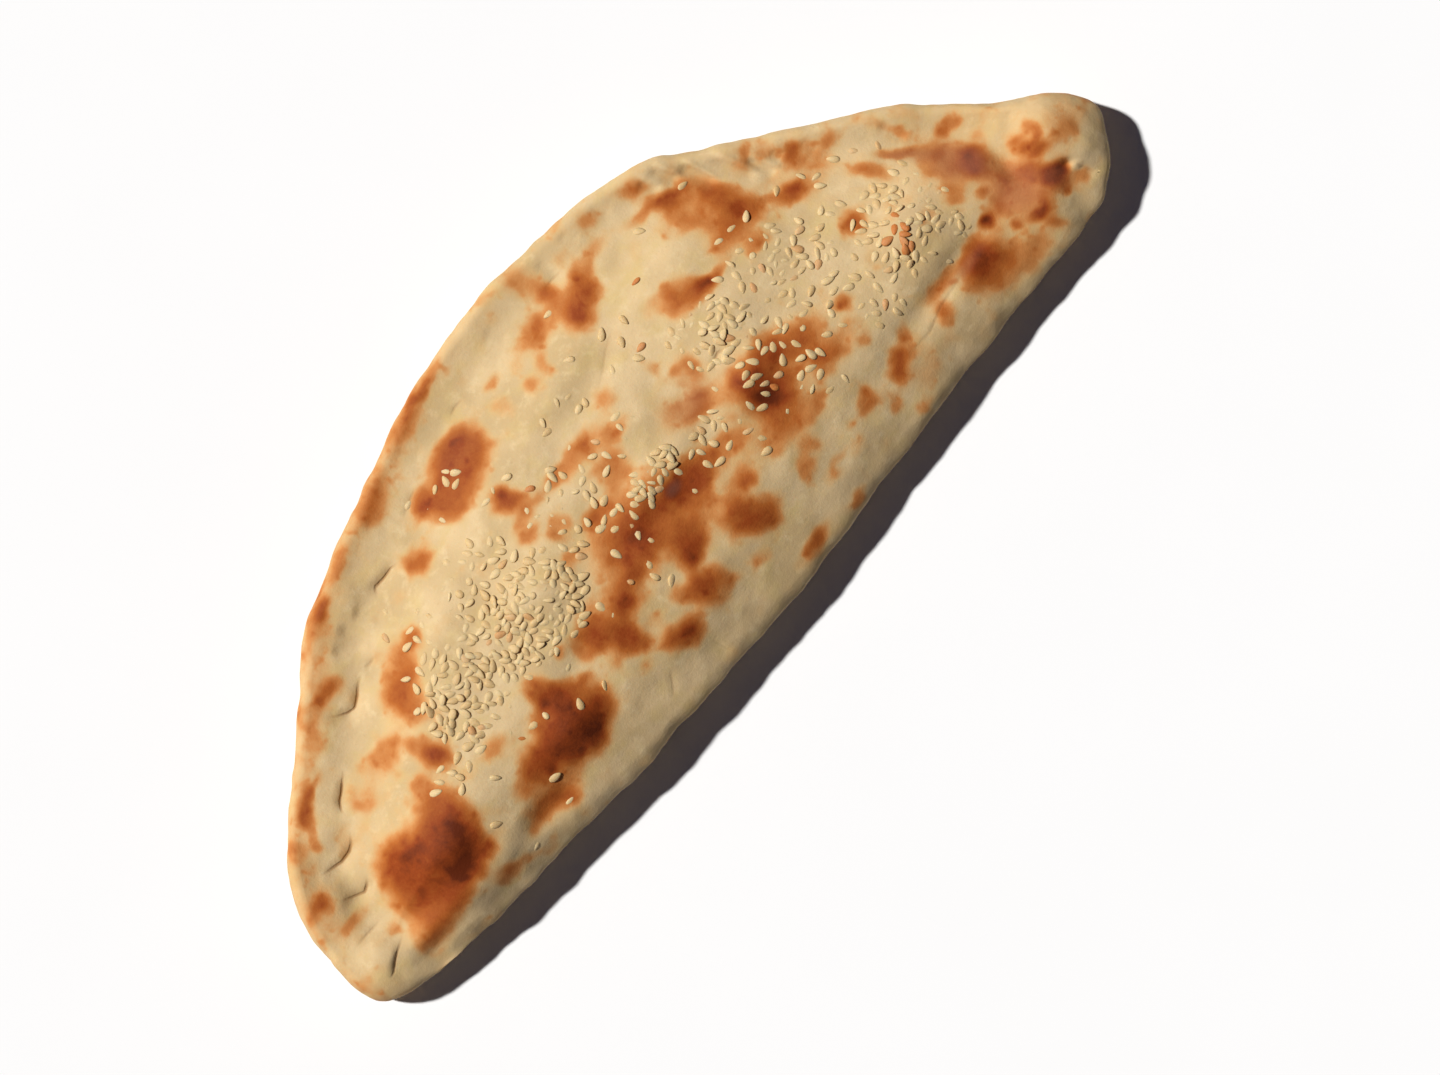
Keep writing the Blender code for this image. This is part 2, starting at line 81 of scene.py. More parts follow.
# Rises and dips of the top: x, y, half length, half width, turn in degrees, height
BULGES = [
    (34.0, -11.0, 10.0, 7.0, 10.0, 2.5),
    (3.0, -8.0, 14.0, 5.5, 3.0, 1.7),
    (-37.0, -3.0, 11.0, 8.5, 0.0, 1.9),
    (85.0, -19.0, 10.0, 8.5, 0.0, 2.6),
    (45.0, 3.0, 17.0, 8.0, 10.0, 1.4),
    (-56.0, -29.0, 10.0, 7.0, 0.0, 2.0),
    (-95.0, -23.0, 20.0, 12.0, 8.0, 3.4),
    (-70.0, 2.0, 17.0, 12.0, 10.0, 1.6),
    (108.0, -22.0, 8.0, 7.0, 0.0, 1.6),
    (115.0, -37.0, 9.0, 7.0, -30.0, 1.8),
    (-22.0, 31.0, 12.0, 8.0, 5.0, 1.5),
    (22.0, 32.0, 11.0, 7.0, 20.0, 1.2),
    (62.0, 17.0, 12.0, 9.0, -40.0, 1.4),
    (9.0, -32.0, 7.0, 8.0, 0.0, 0.8),
    (-10.0, -34.0, 7.0, 6.0, 0.0, 0.8),
    (-23.0, -36.0, 8.0, 6.0, -15.0, 0.8),
    (79.0, -33.0, 22.0, 4.5, 3.0, -1.8),
    (-74.0, -36.5, 12.0, 3.5, -6.0, -1.3),
    (-42.0, -20.0, 9.0, 5.0, 10.0, -1.0),
    (5.0, 16.0, 26.0, 6.0, 18.0, -1.0),
    (-124.0, -25.0, 8.0, 5.0, 10.0, 1.6),
    (-122.0, -8.0, 7.0, 5.0, 60.0, 1.4),
    (-114.0, 1.5, 7.0, 5.0, 35.0, 1.2),
    (-98.0, 14.0, 12.0, 6.0, 32.0, 1.4),
    (-80.0, 26.0, 9.0, 6.0, 30.0, 1.2),
    (-66.0, 32.0, 7.0, 5.0, 20.0, 0.9),
    (122.5, -31.0, 10.0, 8.5, -30.0, 5.8),
    (127.0, -40.0, 6.0, 5.0, -40.0, 1.4),
    (112.5, -28.0, 8.0, 3.0, 75.0, -1.6),
    (112.0, -43.0, 10.0, 6.0, 0.0, 1.0),
    (121.2, -38.9, 1.8, 1.3, -45.0, -1.1),
    (122.6, -40.6, 1.6, 1.2, -45.0, 0.3),
    (-101.0, -34.0, 14.0, 5.0, -7.0, 2.0),
    (-117.5, -31.5, 11.0, 5.2, -12.0, 4.4),
    (-84.0, -34.0, 10.0, 5.0, -4.0, 1.2),
    (-113.0, -38.6, 11.0, 3.2, -9.0, 1.8),
]
UNDULATION = (19.0, 0.75)       # how long and how high the slow waves of the top are
# Small lumps of baked dough: height, size and the noise's layer
LUMPS = [(0.48, 11.0, 3.1), (0.22, 5.0, 7.7), (0.05, 2.0, 9.4)]
LUMPS_FADE = 2.5        # no lumps at the table, all of them from this height up
LUMPS_EDGE = (5.0, 0.5)         # how wide the edge's rougher band is, and how much rougher

# Pinches and creases: the rim's pillow ends in a steep drop at each line, and the dough past it rises
# gently again. The pillow's width, the rise's width, the depth, and the line's places, rim side on its left
GASHES = [
    (1.8, 3.0, 0.8, [(-129.8, -31.7), (-127.6, -31.3), (-125.2, -29.9), (-123.2, -29.0), (-119.0, -27.5)]),
    (1.8, 2.0, 0.3, [(-129.0, -20.6), (-124.0, -20.9), (-119.6, -21.2)]),
    (2.2, 1.8, 0.9, [(-122.8, -10.8), (-120.2, -12.6), (-117.4, -14.2), (-115.8, -13.6), (-113.8, -12.0)]),
    (2.6, 1.8, 1.1, [(-120.8, -3.4), (-118.4, -4.5), (-115.2, -5.5), (-112.2, -5.4), (-110.4, -4.6),
                     (-107.8, -2.0)]),
    (2.4, 1.6, 0.9, [(-106.0, 0.2), (-105.6, 2.2), (-104.2, 3.8), (-101.8, 5.0), (-99.8, 6.4),
                     (-97.4, 7.8)]),
    (2.8, 2.0, 1.3, [(-90.8, 19.4), (-88.6, 16.8), (-86.4, 15.3), (-84.4, 14.7), (-81.8, 16.0),
                     (-79.4, 17.6), (-76.6, 18.5)]),
    (1.6, 1.4, 0.4, [(-75.8, 19.0), (-73.9, 18.3), (-71.4, 18.6)]),
    (2.8, 1.8, 1.2, [(-60.8, 26.4), (-58.8, 28.6), (-56.0, 28.3), (-53.0, 28.4), (-50.0, 27.4)]),
    (2.2, 2.0, 0.40, [(-42.0, 33.4), (-38.0, 34.6), (-34.0, 35.8)]),
    (2.2, 2.0, 0.35, [(-16.5, 39.3), (-13.5, 39.9), (-10.5, 39.7)]),
    (2.0, 2.0, 0.40, [(21.5, 40.3), (24.8, 40.4), (28.0, 39.9)]),
    (1.2, 1.2, 0.40, [(122.4, -40.4), (123.2, -43.0), (124.3, -46.4)]),
    (1.6, 2.0, 0.20, [(60.0, -37.6), (70.0, -38.0), (76.0, -36.4), (92.0, -35.2)]),
    (1.6, 1.4, 0.20, [(9.0, 14.4), (15.0, 17.2), (19.0, 19.6), (26.0, 22.4)]),
    (1.6, 1.4, 0.22, [(-36.0, -44.0), (-33.0, -41.2), (-30.0, -38.0)]),
    (1.4, 1.2, 0.18, [(-19.2, -42.0), (-18.8, -45.0), (-18.3, -48.0)]),
    (1.8, 1.0, 0.6, [(30.8, -4.2), (32.6, -2.2), (35.0, -1.7), (37.2, -3.0)]),
]
# Pleats that the fingers left across the rim, each a shallow valley: its width to the west and to the
# east, its depth, how crisp its line is and how much shade is painted in it, and the places on it, from the
# rim inwards
PLEATS = [
    (1.8, 0.8, 0.55, 0.7, [(55.4, 39.0), (56.4, 36.2), (57.8, 33.2)]),
    (2.0, 0.7, 0.75, 1.0, [(60.0, 39.0), (61.0, 35.0), (62.4, 30.6)]),
    (2.2, 0.7, 0.85, 1.0, [(65.0, 34.0), (65.8, 28.5), (67.0, 23.0)]),
    (2.4, 0.7, 0.85, 1.0, [(70.7, 30.0), (72.0, 24.0), (73.0, 20.6), (74.6, 16.4)]),
    (2.2, 0.7, 0.80, 0.9, [(75.8, 22.4), (77.0, 17.5), (78.0, 13.4)]),
    (1.6, 0.8, 0.40, 0.4, [(80.6, 18.6), (81.8, 15.0)]),
    (1.8, 1.2, 0.25, 0.0, [(87.2, 14.5), (87.8, 9.0)]),
    (1.8, 1.2, 0.45, 0.0, [(101.4, 2.4), (102.2, -1.8), (103.2, -5.8)]),
    (1.8, 1.4, 0.30, 0.0, [(44.0, 44.5), (46.0, 39.0)]),
    (1.8, 1.4, 0.30, 0.0, [(34.0, 46.0), (36.5, 41.0)]),
    (1.6, 1.2, 0.35, 0.0, [(25.4, 46.0), (26.6, 40.0)]),
    (1.8, 1.4, 0.25, 0.0, [(5.0, 46.0), (7.5, 39.5)]),
    (1.8, 1.4, 0.25, 0.0, [(-30.0, 45.0), (-27.5, 38.5)]),
    (1.8, 1.4, 0.30, 0.0, [(-49.0, 40.0), (-45.5, 33.5)]),
    (1.6, 1.3, 0.55, 0.0, [(-77.6, 27.2), (-74.4, 24.4), (-71.2, 20.8)]),
    (1.8, 1.3, 0.75, 0.0, [(-72.0, 30.0), (-70.2, 25.0), (-68.0, 18.8)]),
    (1.7, 1.3, 0.60, 0.0, [(-67.0, 29.4), (-65.0, 26.0), (-62.6, 21.6)]),
    (2.2, 1.8, 0.80, 0.0, [(114.2, -31.5), (115.0, -27.5), (117.2, -24.2), (121.3, -22.2), (125.5, -21.6)]),
]
PINCH_POWER = 2.4       # how sharply a pinch's drop ends
PINCH_ENDS, PLEAT_ENDS = 2.6, 4.0       # how soon a pinch and a pleat reach their full depth
PLEAT_RIDGE = (0.45, 1.4, 0.7)          # the ridge east of a crisp pleat: height, distance and width
LINE_REACH, LINE_SOFT = 2.4, 0.9        # how far from a pinch its dark line of painted shade still counts

DIVISIONS = (400, 176, 12)      # of the dough along X, along Y and down its edge

# Toasted patches: x, y, half length, half width, turn in degrees, how brown
BLOTS = [
    (106.0, -28.0, 14.0, 18.0, 0.0, 0.15), (94.0, -10.0, 13.0, 10.0, -40.0, 0.09),
    (97.0, -42.0, 14.0, 6.0, 0.0, 0.10), (124.0, -32.0, 8.0, 6.5, -20.0, 0.14),
    (70.0, -40.0, 20.0, 6.0, 0.0, 0.07), (74.0, 12.0, 14.0, 8.0, -35.0, 0.07),
    (-104.0, -20.0, 17.0, 15.0, 0.0, 0.10), (-58.0, -27.0, 15.0, 11.0, 0.0, 0.10),
    (-6.0, -14.0, 22.0, 15.0, 0.0, 0.08), (36.0, -18.0, 20.0, 12.0, 0.0, 0.08),
    (19.0, -2.5, 7.0, 4.6, -15.0, 0.32), (24.5, -7.0, 4.6, 3.0, -20.0, 0.28),
    (28.5, -1.0, 4.6, 3.6, 0.0, 0.16), (-92.5, -23.0, 5.5, 7.0, -25.0, 0.66),
    (-98.0, -28.0, 9.0, 4.5, 25.0, 0.56), (-105.0, -19.0, 7.0, 7.0, 0.0, 0.44),
    (-94.0, -31.0, 6.0, 3.5, 0.0, 0.40), (-91.5, -38.5, 4.6, 2.2, -20.0, 0.42),
    (-84.0, -42.0, 4.0, 1.6, -8.0, 0.22), (-80.5, -7.0, 3.2, 4.8, 15.0, 0.80),
    (-88.0, -8.0, 3.0, 2.0, 0.0, 0.30), (-99.2, -0.6, 3.6, 3.4, 0.0, 0.30),
    (-88.0, 2.0, 6.5, 4.2, 0.0, 0.45), (-125.2, -8.4, 2.4, 2.1, 0.0, 0.44),
    (-126.0, -9.0, 5.0, 4.0, 50.0, 0.20), (-124.6, -17.0, 4.6, 1.7, 0.0, 0.28),
    (-119.2, -25.0, 2.0, 1.9, 0.0, 0.28), (-112.8, 6.4, 3.0, 2.2, 60.0, 0.44),
    (-109.6, 9.8, 4.4, 1.8, 38.0, 0.40), (-105.0, 11.0, 3.0, 1.0, 0.0, 0.22),
    (-115.2, 1.7, 1.7, 1.8, 0.0, 0.42), (-119.0, 4.6, 8.0, 2.4, 42.0, 0.12),
    (-85.2, 22.2, 4.2, 2.1, 5.0, 0.40), (-97.0, 17.0, 4.0, 2.6, 30.0, 0.24),
    (-71.2, 35.6, 3.8, 1.9, 22.0, 0.50), (-59.5, 38.9, 4.6, 1.4, 14.0, 0.26),
    (-43.8, 40.6, 4.8, 3.4, 10.0, 0.36), (-24.3, 46.2, 4.2, 2.4, 8.0, 0.30),
    (-15.5, 48.8, 6.0, 1.5, 6.0, 0.46), (-75.0, 7.5, 5.0, 4.4, 0.0, 0.60),
    (-69.0, 12.0, 6.0, 4.2, 40.0, 0.55), (-75.0, 2.0, 3.6, 3.6, 0.0, 0.40),
    (-62.5, 14.0, 3.2, 1.8, 0.0, 0.50), (-70.0, -18.0, 3.6, 3.0, 0.0, 0.38),
    (-57.0, -29.0, 10.5, 6.6, 5.0, 0.82), (-67.0, -28.5, 7.0, 3.6, 0.0, 0.62),
    (-53.0, -21.0, 3.6, 6.5, 5.0, 0.82), (-53.0, -31.5, 6.5, 4.5, 0.0, 0.80),
    (-46.0, -24.0, 3.6, 1.8, 0.0, 0.45), (-73.0, -36.5, 8.0, 3.0, -6.0, 0.60),
    (-68.0, -39.0, 3.0, 1.6, -20.0, 0.40), (-47.0, 24.0, 4.4, 2.6, 10.0, 0.62),
    (-36.0, 33.0, 3.4, 2.4, 5.0, 0.36), (-21.0, 35.6, 6.5, 2.4, 0.0, 0.36),
    (-23.0, 16.0, 4.4, 3.0, -30.0, 0.75), (-24.0, 11.0, 4.6, 1.6, 0.0, 0.32),
    (-26.0, 7.5, 3.6, 2.2, 0.0, 0.50), (-24.5, -4.0, 2.2, 2.2, 0.0, 0.42),
    (-42.5, -15.5, 2.0, 1.4, 0.0, 0.45), (-31.0, -15.0, 3.0, 2.0, 0.0, 0.28),
    (-35.5, -19.5, 5.0, 3.8, 0.0, 0.72), (-31.0, -26.0, 3.8, 5.0, 15.0, 0.78),
    (-37.5, -27.0, 2.0, 2.0, 0.0, 0.28), (-33.5, -34.5, 1.8, 1.8, 0.0, 0.30),
    (-24.0, -20.0, 5.0, 4.0, 0.0, 0.66), (-10.0, -34.0, 5.4, 4.6, -20.0, 0.62),
    (-14.0, -31.0, 3.0, 2.0, 0.0, 0.35), (-5.0, -38.0, 2.6, 2.0, 0.0, 0.30),
    (-5.0, -26.0, 4.6, 2.8, 10.0, 0.72), (-3.0, -22.0, 5.0, 3.8, 0.0, 0.55),
    (-14.0, -12.0, 9.5, 8.0, 20.0, 0.55), (-13.0, -17.0, 5.0, 3.4, 0.0, 0.45),
    (-4.0, -13.0, 8.5, 7.0, 0.0, 0.60), (3.3, -13.0, 2.4, 1.6, 0.0, 0.90),
    (8.0, -15.5, 6.2, 4.8, 0.0, 0.78), (8.0, -29.0, 5.4, 4.8, 0.0, 0.64),
    (11.0, -34.0, 4.8, 4.2, 0.0, 0.66), (15.5, -24.5, 3.8, 2.4, 0.0, 0.52),
    (18.5, -17.0, 5.0, 3.6, 0.0, 0.42), (-16.5, -28.5, 2.4, 1.8, 0.0, 0.28),
    (-23.0, -28.0, 2.4, 1.8, 0.0, 0.28), (3.0, -40.0, 3.6, 1.6, 0.0, 0.32),
    (14.0, -47.5, 4.4, 2.4, 5.0, 0.62), (-5.0, 10.0, 10.5, 2.4, 0.0, 0.45), (5.0, 6.5, 4.6, 2.0, 0.0, 0.38),
    (-1.5, 2.0, 5.0, 4.4, 0.0, 0.46), (-20.0, 2.5, 3.0, 2.4, 0.0, 0.38), (-14.5, -2.5, 3.0, 2.0, 0.0, 0.45),
    (10.0, 12.0, 3.0, 2.4, 0.0, 0.28), (23.0, 8.0, 2.0, 2.4, 0.0, 0.30), (28.0, 2.0, 2.6, 3.4, 0.0, 0.40),
    (24.5, 31.0, 6.6, 4.2, 30.0, 0.66), (27.5, 33.5, 3.4, 2.6, 0.0, 0.25),
    (21.5, 29.5, 3.2, 2.4, 0.0, 0.22), (11.0, 36.0, 5.0, 3.0, 10.0, 0.52),
    (18.5, 34.5, 5.0, 3.4, -10.0, 0.36), (21.5, 39.0, 3.0, 3.6, 8.0, 0.48),
    (19.5, 45.5, 3.2, 4.6, 12.0, 0.30), (-3.0, 37.0, 2.8, 1.8, 0.0, 0.38),
    (-7.0, 30.0, 2.6, 3.2, 0.0, 0.28), (3.0, 33.5, 2.4, 2.0, 0.0, 0.22), (1.5, 27.5, 2.4, 2.0, 0.0, 0.22),
    (8.0, 30.0, 2.4, 2.0, 0.0, 0.22), (30.5, 41.5, 2.6, 2.2, 0.0, 0.22), (34.0, -14.0, 6.2, 6.4, 0.0, 0.82),
    (36.5, -18.5, 6.4, 2.6, 0.0, 0.62), (43.5, -11.5, 6.0, 4.6, 0.0, 0.62),
    (32.0, -24.0, 8.5, 5.0, 0.0, 0.52), (49.0, -19.0, 5.0, 6.0, 0.0, 0.42),
    (55.0, -23.0, 6.0, 3.6, 0.0, 0.32), (53.0, -15.0, 6.0, 3.2, 0.0, 0.36),
    (62.5, -17.5, 2.6, 2.0, 0.0, 0.48), (42.0, -26.5, 2.6, 2.0, 0.0, 0.38),
    (58.5, -27.0, 2.0, 1.4, 0.0, 0.32), (48.0, -36.0, 2.6, 2.6, 0.0, 0.50),
    (41.5, -36.5, 2.0, 1.6, 0.0, 0.28), (31.5, -33.0, 2.4, 2.6, 0.0, 0.38),
    (26.5, -34.5, 2.6, 2.6, 0.0, 0.38), (29.5, -41.0, 2.2, 2.2, 0.0, 0.36),
    (28.5, -48.5, 2.6, 1.4, 0.0, 0.40), (33.0, -39.0, 3.6, 1.2, 0.0, 0.30),
    (39.0, -41.0, 2.4, 1.8, 0.0, 0.25), (52.0, -42.5, 2.6, 1.8, 0.0, 0.25),
    (55.5, -47.5, 2.0, 1.8, 0.0, 0.36), (62.0, -44.0, 3.6, 3.4, 0.0, 0.22),
    (65.5, -33.0, 1.8, 1.6, 0.0, 0.34), (59.5, -37.0, 4.2, 3.0, 45.0, 0.66),
    (75.0, -38.0, 2.8, 2.6, 0.0, 0.56), (78.0, -33.0, 4.6, 2.0, 0.0, 0.36),
    (35.0, 36.5, 7.0, 2.2, 0.0, 0.34), (47.0, 33.5, 3.6, 1.8, -10.0, 0.30),
    (40.5, 42.5, 3.0, 2.4, 0.0, 0.34), (52.6, 38.6, 4.2, 2.4, -42.0, 0.42),
    (54.5, 32.0, 6.0, 1.8, -24.0, 0.56), (58.0, 29.5, 4.0, 2.8, 0.0, 0.48),
    (55.0, 27.0, 4.6, 3.4, 0.0, 0.42), (64.0, 25.0, 3.2, 4.6, 0.0, 0.48),
    (60.5, 18.5, 7.0, 5.0, -20.0, 0.45), (66.0, 19.0, 5.0, 2.6, -40.0, 0.40),
    (60.0, 13.0, 7.0, 3.8, 0.0, 0.48), (66.5, 14.5, 3.6, 2.4, -25.0, 0.36),
    (76.6, 7.8, 4.2, 2.6, -30.0, 0.64), (70.5, 11.8, 4.0, 2.0, -25.0, 0.40),
    (61.0, 7.0, 3.6, 2.4, 0.0, 0.48), (41.5, 11.6, 6.4, 3.2, -8.0, 0.60),
    (48.0, 10.6, 5.0, 1.6, -8.0, 0.62), (40.0, 16.5, 4.6, 2.8, 0.0, 0.38),
    (84.0, 14.0, 2.8, 3.2, 0.0, 0.52), (77.5, 23.0, 2.0, 2.0, 0.0, 0.36), (74.0, 22.0, 2.4, 2.0, 0.0, 0.28),
    (82.0, 12.0, 2.4, 2.0, 0.0, 0.28), (80.0, 18.5, 2.4, 2.0, 0.0, 0.28), (91.4, 9.9, 3.0, 2.0, 0.0, 0.28),
    (84.2, 6.8, 5.0, 3.0, 0.0, 0.24), (79.0, -8.0, 3.6, 2.4, 0.0, 0.68), (90.0, -39.0, 6.0, 4.6, 0.0, 0.54),
    (90.0, -38.0, 5.0, 3.8, 0.0, 0.50), (91.0, -33.3, 3.6, 1.6, 0.0, 0.42),
    (90.0, -44.0, 4.4, 3.0, 0.0, 0.30), (84.0, -33.0, 7.0, 1.6, 0.0, 0.32),
    (98.6, -32.6, 2.2, 1.6, 10.0, 0.82), (97.0, -42.0, 3.0, 2.0, 0.0, 0.28),
    (98.8, -22.2, 2.2, 2.2, 0.0, 0.36), (103.2, -27.0, 1.5, 1.5, 0.0, 0.40),
    (103.2, -38.8, 1.5, 1.2, 0.0, 0.50), (103.8, -33.0, 2.0, 2.4, 0.0, 0.36),
    (100.0, -46.0, 6.5, 2.8, 0.0, 0.34), (91.0, -3.0, 5.2, 1.9, -58.0, 0.46),
    (98.5, -5.8, 5.5, 1.3, -48.0, 0.42), (104.6, -16.0, 4.2, 7.0, 25.0, 0.34),
    (107.9, -20.8, 2.8, 4.0, 15.0, 0.80), (109.5, -33.0, 5.8, 8.0, 15.0, 0.40),
    (117.3, -38.8, 2.8, 2.6, 0.0, 0.84), (116.2, -42.6, 1.7, 1.2, 0.0, 0.5),
    (114.2, -34.0, 2.0, 4.0, 25.0, 0.52), (108.2, -40.6, 2.1, 1.7, 0.0, 0.70),
    (121.7, -27.2, 1.7, 1.9, 0.0, 0.44), (119.6, -28.7, 2.4, 1.0, 0.0, 0.30),
    (117.5, -26.8, 1.5, 1.9, 0.0, 0.42), (119.6, -25.5, 2.4, 0.8, 0.0, 0.20),
    (118.8, -31.4, 2.8, 1.9, -10.0, 0.42), (125.2, -33.6, 4.4, 2.0, -20.0, 0.24),
    (129.5, -31.5, 5.5, 4.0, -30.0, 0.18), (120.7, -43.4, 2.6, 2.1, 0.0, 0.40),
    (109.3, -46.0, 1.4, 2.6, 20.0, 0.30), (111.4, -10.9, 2.4, 1.7, -10.0, 0.46),
    (113.6, -13.2, 1.5, 1.2, 0.0, 0.34), (103.2, -3.4, 1.2, 3.0, 10.0, 0.34),
    (101.8, 2.4, 1.8, 3.0, 25.0, 0.20),
]
BLOT_REACH, BLOT_SOFT = 2.1, 1.9        # where a patch's toast ends and how softly, in its own sizes
BLOT_POWER = 1.6        # the higher this is, the smaller the brown middle of a patch
BLOT_STRAY, FIELD_STRAY = 0.75, 0.38    # how far the edges of patches and fields wander
# Larger toasted fields: how brown, how soft their edge is, and the places round each
FIELDS = [
    (0.64, 4.4, [(-110.8, -11.6), (-107.5, -11.2), (-104.0, -12.0), (-99.5, -12.8), (-95.0, -12.2),
                 (-91.0, -9.8), (-88.0, -6.6), (-85.5, -9.4), (-83.6, -12.6), (-83.4, -17.0),
                 (-85.0, -21.6), (-87.0, -27.1), (-89.6, -31.0), (-94.6, -33.0), (-101.0, -34.4),
                 (-108.0, -36.6), (-114.0, -37.6), (-118.0, -36.2), (-120.6, -34.0), (-119.6, -31.6),
                 (-116.6, -28.6), (-115.6, -22.6), (-113.8, -16.8)]),
    (0.74, 3.4, [(-29.5, -33.0), (-25.0, -31.0), (-20.0, -32.5), (-15.5, -36.0), (-17.5, -40.5),
                 (-22.0, -41.0), (-28.0, -37.0)]),
    (0.70, 3.6, [(-41.5, 29.5), (-39.5, 33.0), (-36.5, 35.0), (-32.5, 33.6), (-28.5, 35.6), (-26.0, 37.6),
                 (-20.0, 37.8), (-15.0, 36.4), (-12.6, 31.5), (-13.8, 27.5), (-18.0, 24.6), (-22.5, 23.4),
                 (-28.0, 22.4), (-33.0, 21.4), (-36.0, 23.5), (-38.0, 27.0)]),
]
# Where the toast is pinkish and dusky: x, y, half length, half width, turn, strength
DUSKY = [
    (20.0, -2.0, 10.0, 6.0, 0.0, 0.42), (22.0, -4.0, 5.0, 3.5, 0.0, 0.3), (33.0, -4.0, 4.0, 2.5, 0.0, 0.6),
    (100.0, -8.5, 8.0, 2.2, -48.0, 0.7), (105.0, -17.0, 5.5, 6.0, 0.0, 0.8),
    (108.0, -21.5, 4.0, 5.0, 0.0, 0.9), (109.0, -33.0, 7.0, 8.0, 0.0, 0.7),
    (85.0, -35.4, 9.0, 1.6, 2.0, 0.6), (3.3, -13.0, 2.6, 1.6, 0.0, 0.8), (-20.0, 33.0, 8.0, 4.0, 0.0, 0.25),
    (117.0, -39.0, 4.0, 4.0, 0.0, 0.5),
]
DUSKY_REACH, DUSKY_SOFT = 1.35, 1.1

# How wide the rim's blush is, and how strong along X
BLUSH_WIDTH = 13.0
BLUSH_STATIONS = [
    (-137.0, 0.19), (-110.0, 0.20), (-70.0, 0.26), (-20.0, 0.24), (10.0, 0.13), (55.0, 0.07), (137.0, 0.12),
]

# Sesame seeds: patches as x, y, half length, half width, turn, how many, least distance apart
SEED_SIZE = (3.2, 1.95, 0.85)
SEED_SUNK = 0.20
SEED_STACK = 0.11       # how much higher a seed lies for each one under it, of two at most
SEED_CROWD = 2.1        # seeds nearer than this lie on each other
SEED_LEAN, SEED_ROLL = 0.08, 0.2        # how unevenly the seeds tilt
SEED_SPREAD = 0.68      # a patch's seeds crowd its middle the more this is above 0.5
SEED_PATCHES = [
    (-59.0, -4.0, 18.0, 11.0, 4.0, 112, 1.5),
    (-38.0, -5.5, 11.5, 11.0, 0.0, 72, 1.45),
    (-50.0, 5.0, 22.0, 5.0, -4.0, 34, 2.3),
    (-48.0, 12.0, 18.0, 5.0, 0.0, 20, 2.4),
    (-18.0, 3.0, 13.0, 8.0, 0.0, 24, 2.3),
    (2.9, -7.3, 7.6, 3.6, 4.0, 30, 1.55),
    (-3.0, 5.0, 14.0, 4.0, 0.0, 9, 2.8),
    (20.0, -12.0, 7.0, 4.0, 0.0, 8, 2.4),
    (38.0, 2.0, 11.0, 8.0, -25.0, 44, 1.6),
    (62.0, -4.0, 24.0, 12.0, -18.0, 68, 1.9),
    (69.0, -25.0, 7.0, 4.4, 0.0, 11, 2.2),
    (87.0, -19.5, 13.0, 14.0, 0.0, 66, 1.6),
]
